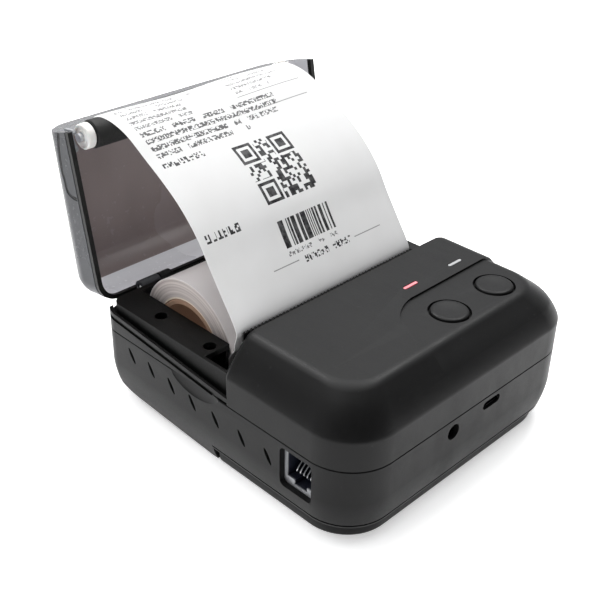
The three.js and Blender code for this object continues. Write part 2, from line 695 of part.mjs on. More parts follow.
function boardScrew([x, y]) {
  return rod('z', [x, y], 2.2, 29.1, 30.5, 16).add(rod('z', [x, y], 1.1, 26.6, 29.1, 12));
}

function buttonBoard() {
  return box(-3, 44, -46.5, -17, 41.6, 42.8);
}

function tactSwitch([x, y]) {
  return box(x - 3, x + 3, y - 3, y + 3, 43.1, 46.1).add(rod('z', [x, y], 1.7, 46.1 - 0.2, 46.5, 16));
}

function button([x, y]) {
  const stem = [[0, 47.4], [2.2, 47.4], [2.2, 47.9]];
  const flange = [[7.4, 47.9], [7.4, 48.2], [BUTTON_RADIUS, 48.2]];
  const cap = [[BUTTON_RADIUS, 49.7], [BUTTON_RADIUS - 0.5, 50.2], [3, 50.4], [0, 50.45]];
  const profile = [...stem, ...flange, ...cap];
  const shape = new THREE.LatheGeometry(profile.map(([r, z]) => new THREE.Vector2(r, z)), 36);
  shape.rotateX(Math.PI / 2);
  shape.translate(x, y, 0);
  return solid(shape);
}

function lightPipe([x, y]) {
  return prism(roundedBox(x, y, LIGHT_SIZE[0], LIGHT_SIZE[1], 0.6), 'z', 45.2, TOP_Z);
}

function lightChip([x, y]) {
  return box(x - 1.6, x + 1.6, y - 0.8, y + 0.8, 43.1, 44.2);
}

function dcJack() {
  const { x, z, hole } = DC_JACK;
  const body = box(x - 4.5, x + 4.5, FRONT_Y + 2.4, FRONT_Y + 13, z - 3.9, 26.9);
  const bore = rod('y', [x, z], hole, FRONT_Y + 1, FRONT_Y + 11.5);
  const pin = rod('y', [x, z], 0.65, FRONT_Y + 3.4, FRONT_Y + 12, 12);
  return body.subtract(bore).add(pin);
}

function usbSocket() {
  const { x, z, width, height } = USB;
  const shell = prism(roundedBox(x, z, width - 1, height - 0.6, 1.2), 'y', FRONT_Y + 1, FRONT_Y + 8.6);
  const mouth = prism(roundedBox(x, z, width - 1.6, height - 1.2, 0.9), 'y', FRONT_Y, FRONT_Y + 7.8);
  const tongue = box(x - 2.9, x + 2.9, FRONT_Y + 2, FRONT_Y + 8, z - 0.35, z + 0.35);
  return shell.subtract(mouth).add(tongue);
}

function serialJack() {
  const { y, z } = SERIAL;
  const body = box(-52.4, -40.2, y - 6.9, y + 6.9, z - 7.4, 26.9);
  const mouth = box(-53, -42.2, y - 5.6, y + 5.6, z - 4.6, z + 5.2);
  const keyway = box(-53, -43.5, y - 2.6, y + 2.6, z - 6.3, z - 4);
  return body.subtract(mouth).subtract(keyway);
}

function serialContacts() {
  const { y, z } = SERIAL;
  let comb = box(-43.3, -42.5, y - 4.6, y + 4.6, z + 3.4, z + 4.9);
  for (let i = 0; i < 6; i += 1) {
    const across = y - 3.6 + i * 1.44;
    const lowerEdge = [[-43, z + 4], [-49.6, z + 4.1], [-45.7, z + 1]];
    const upperEdge = [[-46, z + 0.6], [-50.6, z + 4.1], [-50, z + 4.6], [-43, z + 4.6]];
    comb = comb.add(prism([...lowerEdge, ...upperEdge], 'y', across - 0.25, across + 0.25));
  }
  return comb;
}

function batteryPack() {
  return prism(roundedBox(-25.5, 17, 37, 18.4, 8.6, 6), 'x', -38.6, 26.6);
}

// ---------------------------------------------------------------- paper
function ring(outer, inner, sides) {
  const body = rod('x', [ROLL_Y, ROLL_Z], outer, ROLL_LEFT_X, ROLL_RIGHT_X, sides);
  return body.subtract(rod('x', [ROLL_Y, ROLL_Z], inner, ROLL_LEFT_X - 1, ROLL_RIGHT_X + 1, sides));
}

/** The free length of paper stands up from the tear edge and curls back over the open lid. */
function paperStrip() {
  const path = new THREE.CatmullRomCurve3([
    [-1.2, 42], [-3.1, 47], [-3.1, 51.2], [2.6, 59.8], [7.7, 67.2], [13.0, 75.4], [19.6, 82.4], [27.4, 88.2],
    [37.0, 93.8], [45.0, 98.3], [52.0, 100.4], [58.0, 100.6], [62.4, 99.4],
  ].map(([y, z]) => new THREE.Vector3(0, y, z)));
  const samples = path.getSpacedPoints(30);
  const thickness = 0.3;
  const upper = [];
  const lower = [];
  samples.forEach((point, i) => {
    const tangent = path.getTangentAt(i / 30);
    upper.push([point.y - (tangent.z * thickness) / 2, point.z + (tangent.y * thickness) / 2]);
    lower.push([point.y + (tangent.z * thickness) / 2, point.z - (tangent.y * thickness) / 2]);
  });
  return prism([...lower, ...upper.reverse()], 'x', STRIP_LEFT_X, STRIP_RIGHT_X);
}

// ---------------------------------------------------------------- assembly
function rearFoot(side) {
  return rod('z', [side * 34, 36], 5, 0, 2.1, 24);
}

function buildHousing() {
  add(printer, 'lower_shell', lowerShell(), 'matteBlack');
  add(printer, 'top_shell', topShell(), 'matteBlack');
  add(printer, 'bay_frame', bayFrame(), 'darkFrame');
  add(printer, 'base_plate', basePlate(), 'matteBlack');
  add(printer, 'paper_tub', paperTub(), 'darkFrame');
  baseScrewPlaces().forEach((place, i) => add(printer, `base_screw_${i + 1}`, baseScrew(place), 'steel'));
  for (const [name, side] of bothSides) {
    add(printer, `front_pad_${name}`, rod('z', [side * 30, -46], 5, 0, 1.3, 24), 'rubber');
    add(printer, `rear_foot_${name}`, rearFoot(side), 'rubber');
  }
  KNUCKLE_CENTRES.forEach((centre, i) => {
    const pin = rod('x', [HINGE_Y, HINGE_Z], PIN_RADIUS, centre - 4.6, centre + 7.6, 16);
    add(printer, `hinge_pin_${bothSides[i][0]}`, pin, 'steel');
  });
}

function buildDrive() {
  add(printer, 'mech_frame', mechFrame(), 'steel');
  add(printer, 'stepper_motor', stepperMotor(), 'steel');
  add(printer, 'motor_pinion', motorPinion(), 'whitePlastic');
  add(printer, 'drive_idler', gear(IDLER_TEETH, idlerCentre(), IDLER_PHASE, 1.5), 'whitePlastic');
  add(printer, 'idler_stud', idlerStud(), 'steel');
  add(printer, 'print_head', printHead(), 'aluminium');
  add(printer, 'head_ceramic', headCeramic(), 'ceramic');
  [-30, -7, 16].forEach((x, i) => add(printer, `head_spring_${i + 1}`, headSpring(x), 'steel'));
  add(printer, 'head_flex', headFlex(), 'flex');
}

function buildElectronics() {
  add(printer, 'main_board', mainBoard(), 'board');
  boardScrewPlaces().forEach((place, i) => add(printer, `board_screw_${i + 1}`, boardScrew(place), 'steel'));
  add(printer, 'button_board', buttonBoard(), 'board');
  add(printer, 'dc_jack', dcJack(), 'darkFrame');
  add(printer, 'usb_socket', usbSocket(), 'steel');
  add(printer, 'serial_jack', serialJack(), 'greyPlastic');
  add(printer, 'serial_contacts', serialContacts(), 'steel');
  add(printer, 'battery_pack', batteryPack(), 'battery');
  ['power', 'feed'].forEach((name, i) => {
    add(printer, `${name}_button`, button(BUTTON_CENTRES[i]), 'buttonBlack');
    add(printer, `${name}_switch`, tactSwitch(BUTTON_CENTRES[i]), 'darkFrame');
  });
  ['status', 'charge'].forEach((name, i) => {
    add(printer, `${name}_light`, lightPipe(LIGHT_CENTRES[i]), i === 0 ? 'redLight' : 'whiteLight');
    add(printer, `${name}_led`, lightChip(LIGHT_CENTRES[i]), 'whitePlastic');
  });
}

function buildPaper() {
  add(printer, 'paper_roll', ring(ROLL_RADIUS, CORE_OUTER + 0.3, 48), 'paper');
  add(printer, 'roll_core', ring(CORE_OUTER, CORE_INNER, 48), 'cardboard');
  add(printer, 'paper_strip', paperStrip(), 'paper');
}

buildHousing();
buildLid();
buildDrive();
buildElectronics();
buildPaper();

export default printer;
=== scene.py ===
"""A compact receipt printer with its smoky lid standing open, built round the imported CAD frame.

Lengths are given in millimetres and turned into metres as each mesh is made.
"""

import json
import math
import random

import bmesh
import bpy
from mathutils import Matrix, Vector


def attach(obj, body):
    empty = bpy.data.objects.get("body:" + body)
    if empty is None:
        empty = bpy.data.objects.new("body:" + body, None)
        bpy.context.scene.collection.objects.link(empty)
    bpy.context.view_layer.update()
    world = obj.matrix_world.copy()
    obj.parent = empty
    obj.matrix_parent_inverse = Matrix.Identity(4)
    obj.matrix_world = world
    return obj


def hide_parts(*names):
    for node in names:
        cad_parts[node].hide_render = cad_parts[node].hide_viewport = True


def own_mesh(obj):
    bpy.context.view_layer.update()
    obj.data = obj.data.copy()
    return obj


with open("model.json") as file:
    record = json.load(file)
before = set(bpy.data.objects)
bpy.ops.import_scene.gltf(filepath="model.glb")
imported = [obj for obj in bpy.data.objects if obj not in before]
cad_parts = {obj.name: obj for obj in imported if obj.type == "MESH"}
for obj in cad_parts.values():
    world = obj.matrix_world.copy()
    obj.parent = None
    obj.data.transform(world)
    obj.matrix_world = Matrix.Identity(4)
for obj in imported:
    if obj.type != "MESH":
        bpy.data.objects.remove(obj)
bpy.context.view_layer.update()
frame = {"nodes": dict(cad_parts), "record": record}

MM = 0.001
scene = bpy.context.scene

# ---- dimensions, in mm
HALF_WIDTH = 54.9
FRONT_Y = -57.75
REAR_Y = 57.75
FRONT_CORNER = 16.7
REAR_CORNER = 7.0
WALL = 2.0
SEAM_Z = 28.25
CREASE_Z = 38.5
TOP_Z = 50.6
SHOULDER = 9.4
FLARE_Z = 16.0
BASE_INSET = 3.7
DECK_REAR_Y = -5.15
RAIL_TOP_Z = 38.2
RAIL_INSET = 2.1
BAY_LEFT_X, BAY_RIGHT_X, BAY_REAR_Y = -41.6, 39.1, 52.4
ROLL_Y, ROLL_Z, ROLL_RADIUS = 28.8, 28.9, 22.0
ROLL_LEFT_X, ROLL_RIGHT_X = -41.0, 38.5
CORE_OUTER, CORE_INNER = 14.6, 13.0
STRIP_LEFT_X, PAPER_WIDTH, STRIP_SLIDE = -48.1, 79.5, 5.3
HINGE_Y, HINGE_Z = 57.2, 36.2
LID_SLOPE, LID_OPEN = 4.7, 104.7
LID_WALL, LID_CREASE, LID_DEPTH, GASKET, LID_REAR = 1.8, 8.0, 19.3, 2.0, 0.5
PALE_TOP = LID_CREASE + 5.5
LID_REACH = HINGE_Y + 1.6
LID_CROWN = 0.3
KNUCKLE_CENTRES = (-34.0, 34.0)
KNUCKLE_RADIUS, PIN_BORE = 2.5, 1.15
PLATEN_P, PLATEN_Q, PLATEN_RADIUS, BUSH_RADIUS = -56.3, 0.5, 4.7, 4.2
BUTTONS = ((8.8, -38.7), (32.2, -38.6))
BUTTON_RADIUS, BUTTON_HOLE = 6.2, 6.95
LIGHTS = ((11.2, -20.8), (33.6, -21.3))
LIGHT_SIZE = (6.4, 1.3)
PANEL_DEPTH = 0.7
UV_MM = 100
DC_X, DC_Z, DC_HOLE = -9.6, 23.4, 2.7
USB_X, USB_Z, USB_W, USB_H = 9.3, 25.0, 8.9, 3.2
SERIAL_Y, SERIAL_Z, SERIAL_W, SERIAL_H = -35.6, 19.2, 13.0, 14.4
VENT_STARTS = ((43.5, 25.1), (33.2, 24.6), (22.9, 23.6), (12.4, 22.6), (1.3, 22.1), (-10.8, 21.9),
               (-22.4, 21.8))
VENT_RUN, VENT_DROP, VENT_STRETCH, VENT_BULGE = 3.0, 4.8, 1.06, 0.75

# ---- camera and light
ROOM_FRONT, ROOM_BACK, ROOM_TURN = 0.06, 0.75, math.radians(35)
CAMERA_PLACE, CAMERA_LENS = (-217.6, -196.65, 218.1), 61.79
VIEW_AZIMUTH, VIEW_ELEVATION, VIEW_ROLL = math.radians(-45.39), math.radians(31.28), math.radians(1.2)


def make_camera():
    back = Vector((
        math.sin(VIEW_AZIMUTH) * math.cos(VIEW_ELEVATION),
        -math.cos(VIEW_AZIMUTH) * math.cos(VIEW_ELEVATION),
        math.sin(VIEW_ELEVATION),
    ))
    right = Vector((math.cos(VIEW_AZIMUTH), math.sin(VIEW_AZIMUTH), 0))
    up = back.cross(right)
    across = right * math.cos(VIEW_ROLL) + up * math.sin(VIEW_ROLL)
    upright = up * math.cos(VIEW_ROLL) - right * math.sin(VIEW_ROLL)
    data = bpy.data.cameras.new("camera")
    data.lens, data.sensor_width = CAMERA_LENS, 36
    data.clip_start, data.clip_end = 0.01, 20
    camera = bpy.data.objects.new("camera", data)
    turn = Matrix((across, upright, back)).transposed().to_4x4()
    camera.matrix_world = Matrix.Translation(Vector(CAMERA_PLACE) * MM) @ turn
    scene.collection.objects.link(camera)
    scene.camera = camera


def area_light(name, place, target, size, power):
    data = bpy.data.lights.new(name, "AREA")
    data.shape, data.size, data.size_y = "RECTANGLE", size[0], size[1]
    data.energy = power
    light = bpy.data.objects.new(name, data)
    light.location = place
    light.rotation_euler = (Vector(target) - Vector(place)).to_track_quat("-Z", "Y").to_euler()
    scene.collection.objects.link(light)


def make_light():
    """A soft box overhead, two small windows that draw the deck's edges, a low kicker from the left
    rear, and a room that is dimmer in front than behind."""
    scene.view_settings.view_transform = "Standard"
    world = bpy.data.worlds.new("studio")
    world.use_nodes = True
    n = Tree(world.node_tree)
    turn = n.add("ShaderNodeMapping")
    n.put(turn.inputs["Rotation"], (0, 0, ROOM_TURN))
    n.put(turn.inputs["Vector"], n.add("ShaderNodeTexCoord").outputs["Generated"])
    background = n.tree.nodes["Background"]
    brightness = n.spread(n.split(turn.outputs[0])[1], -0.6, 0.8, ROOM_FRONT, ROOM_BACK)
    n.put(background.inputs["Strength"], brightness)
    n.put(background.inputs["Color"], (0.97, 0.98, 1.0, 1))
    scene.world = world
    area_light("top_softbox", (0.1, 0.35, 1.3), (0, 0.05, 0), (1.9, 1.6), 28)
    area_light("right_window", (0.72, 0.10, 1.0), (-0.02, -0.045, 0.05), (0.22, 0.22), 3.2)
    area_light("rear_window", (0.12, 0.68, 1.0), (-0.045, -0.02, 0.05), (0.22, 0.22), 3.2)
    area_light("left_softbox", (-0.9, 0.25, 0.55), (0, 0, 0.04), (0.5, 0.5), 0.5)


# ---- materials
class Tree:
    """A node tree with short ways to add to it."""

    def __init__(self, tree):
        self.tree = tree

    def add(self, kind, **settings):
        node = self.tree.nodes.new(kind)
        for key, value in settings.items():
            setattr(node, key, value)
        return node

    def put(self, socket, value):
        if isinstance(value, (int, float, tuple)):
            socket.default_value = value
        else:
            self.tree.links.new(value, socket)

    def math(self, operation, *values, clamp=False):
        node = self.add("ShaderNodeMath", operation=operation, use_clamp=clamp)
        for socket, value in zip(node.inputs, values):
            self.put(socket, value)
        return node.outputs[0]

    def split(self, vector):
        node = self.add("ShaderNodeSeparateXYZ")
        self.put(node.inputs[0], vector)
        return node.outputs

    def times(self, first, *others):
        for other in others:
            first = self.math("MULTIPLY", first, other)
        return first

    def minus(self, value, other):
        return self.math("SUBTRACT", value, other)

    def over(self, value, other):
        return self.math("DIVIDE", value, other)

    def above(self, value, limit):
        return self.math("GREATER_THAN", value, limit)

    def below(self, value, limit):
        return self.math("LESS_THAN", value, limit)

    def spread(self, value, from_low, from_high, to_low, to_high):
        node = self.add("ShaderNodeMapRange")
        for socket, number in zip(node.inputs, (value, from_low, from_high, to_low, to_high)):
            self.put(socket, number)
        return node.outputs[0]


class Nodes(Tree):
    """A material's nodes: textures in the object's own coordinates, and the surface they lead to."""

    def __init__(self, name):
        self.material = bpy.data.materials.new(name)
        self.material.use_nodes = True
        super().__init__(self.material.node_tree)
        self.shader = self.tree.nodes["Principled BSDF"]
        self.position = self.add("ShaderNodeTexCoord").outputs["Object"]

    def noise(self, scale, detail=3.0, roughness=0.6, stretch=(1, 1, 1)):
        node = self.add("ShaderNodeTexNoise")
        mapping = self.add("ShaderNodeMapping")
        self.put(mapping.inputs["Vector"], self.position)
        self.put(mapping.inputs["Scale"], stretch)
        self.put(node.inputs["Vector"], mapping.outputs[0])
        for key, value in (("Scale", scale), ("Detail", detail), ("Roughness", roughness)):
            self.put(node.inputs[key], value)
        return node.outputs["Fac"]

    def vary(self, noise, low, high):
        """Spreads the middle of a noise's range, where nearly all of it lies, between two values."""
        return self.spread(noise, 0.3, 0.7, low, high)

    def mix(self, share, first, second):
        node = self.add("ShaderNodeMix", data_type="RGBA")
        inputs = {socket.identifier: socket for socket in node.inputs}
        self.put(inputs["Factor_Float"], share)
        self.put(inputs["A_Color"], first)
        self.put(inputs["B_Color"], second)
        return next(socket for socket in node.outputs if socket.identifier == "Result_Color")

    def bump(self, height, strength, distance_mm):
        node = self.add("ShaderNodeBump")
        for key, value in (("Strength", strength), ("Distance", distance_mm * MM), ("Height", height)):
            self.put(node.inputs[key], value)
        if self.shader.inputs["Normal"].is_linked:
            self.put(node.inputs["Normal"], self.shader.inputs["Normal"].links[0].from_socket)
        self.put(self.shader.inputs["Normal"], node.outputs[0])

    def set(self, **values):
        for key, value in values.items():
            self.put(self.shader.inputs[key.replace("_", " ")], value)

    def surface(self, colour, texture, rough, relief, depth_mm, **more):
        """A colour, and one texture that both varies the roughness and stands out as fine relief."""
        self.set(Base_Color=colour, Roughness=self.vary(texture, *rough), **more)
        self.bump(texture, relief, depth_mm)
        return self.material


def grey(value, tint=(1.0, 1.0, 1.0)):
    return (value * tint[0], value * tint[1], value * tint[2], 1.0)


def scaled(colour, factor):
    return tuple(c * factor for c in colour[:3]) + (1.0,)


def moulded_plastic(name, level, roughness, grain=0.35, tint=(1, 1, 1.02)):
    """Spark-textured moulding: fine pits, uneven sheen, rubbed edges and a few pale specks."""
    n = Nodes(name)
    pits = n.noise(2600, 2, 0.5)
    cloud = n.noise(38, 4, 0.6)
    smear = n.noise(120, 3, 0.7, (1, 0.25, 0.6))
    edge = n.spread(n.add("ShaderNodeNewGeometry").outputs["Pointiness"], 0.53, 0.62, 0, 0.5)
    base = n.mix(n.vary(cloud, 0, 1), grey(level * 0.88, tint), grey(level * 1.12, tint))
    speck = n.spread(n.noise(900, 0, 0.5), 0.80, 0.84, 0, 0.35)
    base = n.mix(speck, base, grey(min(level * 3.2, 0.9), tint))
    n.set(Base_Color=n.mix(edge, base, grey(min(level * 1.9, 0.9), tint)))
    uneven = n.math("ADD", n.vary(smear, -0.05, 0.05), n.spread(pits, 0.2, 0.8, -0.05, 0.06))
    n.set(Roughness=n.math("ADD", uneven, roughness, clamp=True), Specular_IOR_Level=0.17)
    n.bump(pits, grain, 0.05)
    n.bump(cloud, 0.12, 0.05)
    return n.material


def rubber(name, level, roughness=0.75):
    """Fine-grained rubber with a little pale dust."""
    n = Nodes(name)
    dust = n.spread(n.noise(160, 5, 0.7), 0.45, 0.75, 0, 0.5)
    colour = n.mix(dust, grey(level), grey(level * 2.4, (1, 0.98, 0.95)))
    rough = roughness - 0.08, roughness + 0.08
    return n.surface(colour, n.noise(1500, 3, 0.6), rough, 0.4, 0.06, Specular_IOR_Level=0.3)


def metal(name, colour, roughness):
    """Rolled or ground metal with streaks along the x axis."""
    n = Nodes(name)
    stain = n.mix(n.spread(n.noise(60, 4, 0.6), 0.4, 0.7, 0, 0.4), colour, scaled(colour, 0.72))
    rough = roughness - 0.08, roughness + 0.12
    return n.surface(stain, n.noise(220, 4, 0.65, (1, 30, 30)), rough, 0.15, 0.02, Metallic=1.0)


def light_coloured(name, colour, roughness, subsurface=0.0):
    """Pale moulded plastic or ceramic, with slight yellowing and fine flow marks."""
    n = Nodes(name)
    cloud = n.noise(90, 4, 0.6)
    warm = tuple(c * f for c, f in zip(colour[:3], (0.95, 0.94, 0.91))) + (1.0,)
    n.set(Base_Color=n.mix(n.spread(cloud, 0.35, 0.75, 0, 1), colour, warm))
    n.set(Roughness=n.vary(n.noise(420, 2), roughness - 0.06, roughness + 0.08))
    if subsurface:
        n.set(Subsurface_Weight=subsurface, Subsurface_Radius=(0.8, 0.6, 0.5), Subsurface_Scale=0.001)
    n.bump(n.noise(900, 2), 0.15, 0.03)
    return n.material


def glow(name, colour, strength, centre_y):
    """A lit light guide: brightest in its middle."""
    n = Nodes(name)
    flow = n.noise(600, 2)
    away = n.math("ABSOLUTE", n.minus(n.split(n.position)[1], centre_y * MM))
    rim = n.spread(away, 0.3 * MM, 0.62 * MM, 0, 1)
    lit = tuple(c * 0.5 + 0.22 for c in colour[:3]) + (1.0,)
    shown = n.mix(rim, lit, scaled(colour, 0.35))
    n.set(Base_Color=shown, Emission_Color=shown)
    n.set(Emission_Strength=strength, Roughness=n.vary(flow, 0.2, 0.35))
    return n.material


def circuit_board(name):
    """Green solder mask over a pattern of tracks."""
    n = Nodes(name)
    tracks = n.add("ShaderNodeTexBrick")
    for key, value in (("Vector", n.position), ("Scale", 260), ("Mortar Size", 0.06),
                       ("Color1", (0.012, 0.10, 0.045, 1)), ("Color2", (0.016, 0.12, 0.055, 1)),
                       ("Mortar", (0.03, 0.2, 0.09, 1))):
        n.put(tracks.inputs[key], value)
    n.set(Base_Color=tracks.outputs["Color"], Roughness=n.vary(n.noise(300), 0.25, 0.45))
    n.bump(tracks.outputs["Fac"], 0.2, 0.04)
    return n.material


def sleeve(name, colour, roughness):
    """Thin wrapped film or flat cable with fine lengthwise ribs."""
    n = Nodes(name)
    ribs = n.noise(500, 2, 0.5, (12, 0.4, 0.4))
    shades = n.mix(ribs, colour, scaled(colour, 0.7))
    return n.surface(shades, ribs, (roughness, roughness + 0.15), 0.3, 0.05)


def smoke(name, dark, pale, alpha, through=0.0, gloss=0.4):
    """Smoky see-through polycarbonate: a gloss skin with faint flow marks, and a painted glow (emission)
    for light from behind.
    """
    n = Nodes(name)
    flow = n.noise(30, 3, 0.55, (1, 0.4, 0.4))
    scuff = n.spread(n.noise(500, 3, 0.6), 0.6, 0.8, 0, 1)
    n.set(Base_Color=n.mix(n.vary(flow, 0, 1), dark, pale))
    n.set(Alpha=alpha, Specular_IOR_Level=gloss, IOR=1.5)
    # painted glow: this emission stands in for light that comes through the plastic from behind; the
    # part is no lamp
    n.set(Emission_Color=pale, Emission_Strength=through)
    n.set(Roughness=n.math("ADD", n.vary(flow, 0.22, 0.3), n.times(scuff, 0.06)))
    n.bump(n.noise(25, 2, 0.5), 0.04, 0.3)
    return n.material


def board_paper(name, colour, roughness, fibre, through=0.0):
    """Fibrous paper or board, a little cloudy, with a painted glow (emission) for light through it."""
    n = Nodes(name)
    fibres = n.noise(700, 4, 0.7, (1, 0.3, 1))
    clouded = n.mix(n.vary(n.noise(120, 3, 0.6), 0, 1), colour, scaled(colour, 0.82))
    # painted glow: the emission stands in for light through the paper or board
    n.set(Emission_Color=colour, Emission_Strength=through, Specular_IOR_Level=0.35)
    return n.surface(clouded, fibres, (roughness - 0.08, roughness + 0.06), fibre, 0.04)


def floor_material():
    n = Nodes("pale_floor")
    n.set(Base_Color=n.mix(n.noise(2, 2), grey(0.9), grey(0.92)), Roughness=0.9, Specular_IOR_Level=0.1)
    n.set(Emission_Color=grey(1.0), Emission_Strength=0.5)
    return n.material


MATERIALS = {
    "shell_black": moulded_plastic("shell_plastic", 0.0065, 0.40),
    "frame_black": moulded_plastic("frame_plastic", 0.003, 0.5, 0.3),
    "button_black": moulded_plastic("button_plastic", 0.007, 0.38, 0.2),
    "smoke": smoke("smoky_skin", (0.05, 0.052, 0.058, 1), (0.075, 0.077, 0.084, 1), 0.97, gloss=0.15),
    "seal_rubber": rubber("seal_rubber", 0.006, 0.45),
    "roller_rubber": rubber("roller_rubber", 0.012, 0.6),
    "foot_rubber": rubber("foot_rubber", 0.03),
    "white_plastic": light_coloured("acetal", (0.86, 0.86, 0.85, 1), 0.38, 0.2),
    "grey_plastic": moulded_plastic("grey_plastic", 0.27, 0.42, 0.2, (0.97, 1, 1.03)),
    "steel": metal("plated_steel", (0.62, 0.63, 0.65, 1), 0.3),
    "aluminium": metal("milled_aluminium", (0.78, 0.79, 0.80, 1), 0.36),
    "ceramic": light_coloured("alumina", (0.74, 0.71, 0.64, 1), 0.22),
    "board": circuit_board("solder_mask"),
    "flex": sleeve("polyimide", (0.45, 0.17, 0.03, 1), 0.3),
    "battery": sleeve("battery_sleeve", (0.03, 0.10, 0.30, 1), 0.3),
    "red_light": glow("red_light", (0.85, 0.03, 0.08, 1), 0.3, LIGHTS[0][1]),
    "white_light": glow("white_light", (0.32, 0.33, 0.34, 1), 0.05, LIGHTS[1][1]),
    "paper": board_paper("thermal_paper", (0.86, 0.86, 0.85, 1), 0.55, 0.2),
    # the core's board has a painted glow, as if light came through it
    "cardboard": board_paper("core_board_painted_glow", (0.36, 0.225, 0.155, 1), 0.8, 0.6, 0.1),
}


def socket_plastic():
    """The serial jack: a pale flange, and deeper in its mouth a dark blue-grey that is painted shade."""
    n = Nodes("serial_jack_plastic")
    # painted shade: inward of x = -51.8 mm the colour turns near-black, for the shade inside the jack's
    # mouth
    depth = n.spread(n.split(n.position)[0], -0.0523, -0.0518, 0, 1)
    grain = n.noise(800, 3)
    pale = n.mix(grain, (0.42, 0.43, 0.45, 1), (0.52, 0.53, 0.55, 1))
    dark = n.mix(grain, (0.012, 0.014, 0.026, 1), (0.022, 0.025, 0.04, 1))
    return n.surface(n.mix(depth, pale, dark), grain, (0.35, 0.5), 0.2, 0.03)


SPECIAL = {
    "serial_jack": socket_plastic(),
    "usb_socket": metal("dark_nickel", (0.05, 0.05, 0.055, 1), 0.4),
}


def finish_cad_nodes():
    """Gives each CAD node the procedural material of its record slot."""
    slots = {part["node"]: part["material_slot"] for part in frame["record"]["subparts"]}
    for name, node in frame["nodes"].items():
        for slot in node.material_slots:
            slot.link = "OBJECT"
            slot.material = SPECIAL.get(name) or MATERIALS[slots[name]]


def roll_paper():
    """The wound roll: fine turns on the end faces, warm greyish edges and a paler outer turn."""
    n = Nodes("wound_paper")
    place = n.split(n.position)
    away = [n.minus(place[axis], centre * MM) for axis, centre in ((1, ROLL_Y), (2, ROLL_Z))]
    radius = n.math("SQRT", n.math("ADD", n.math("POWER", away[0], 2), n.math("POWER", away[1], 2)))
    turns = n.add("ShaderNodeTexNoise", noise_dimensions="1D")
    for key, value in (("W", radius), ("Scale", 1300), ("Detail", 5)):
        n.put(turns.inputs[key], value)
    turn = turns.outputs["Fac"]
    tone = n.mix(n.spread(turn, 0.35, 0.65, 0, 1), (0.60, 0.545, 0.52, 1), (0.42, 0.37, 0.355, 1))
    outside = n.spread(radius, (ROLL_RADIUS - 0.25) * MM, (ROLL_RADIUS - 0.1) * MM, 0, 1)
    inside = n.spread(radius, (CORE_OUTER + 0.5) * MM, (CORE_OUTER + 1.0) * MM, 1, 0)
    paper = n.mix(outside, tone, (0.72, 0.68, 0.68, 1))
    colour = n.mix(inside, paper, (0.80, 0.70, 0.58, 1))
    return n.surface(colour, turn, (0.5, 0.7), 0.35, 0.06, Specular_IOR_Level=0.3)


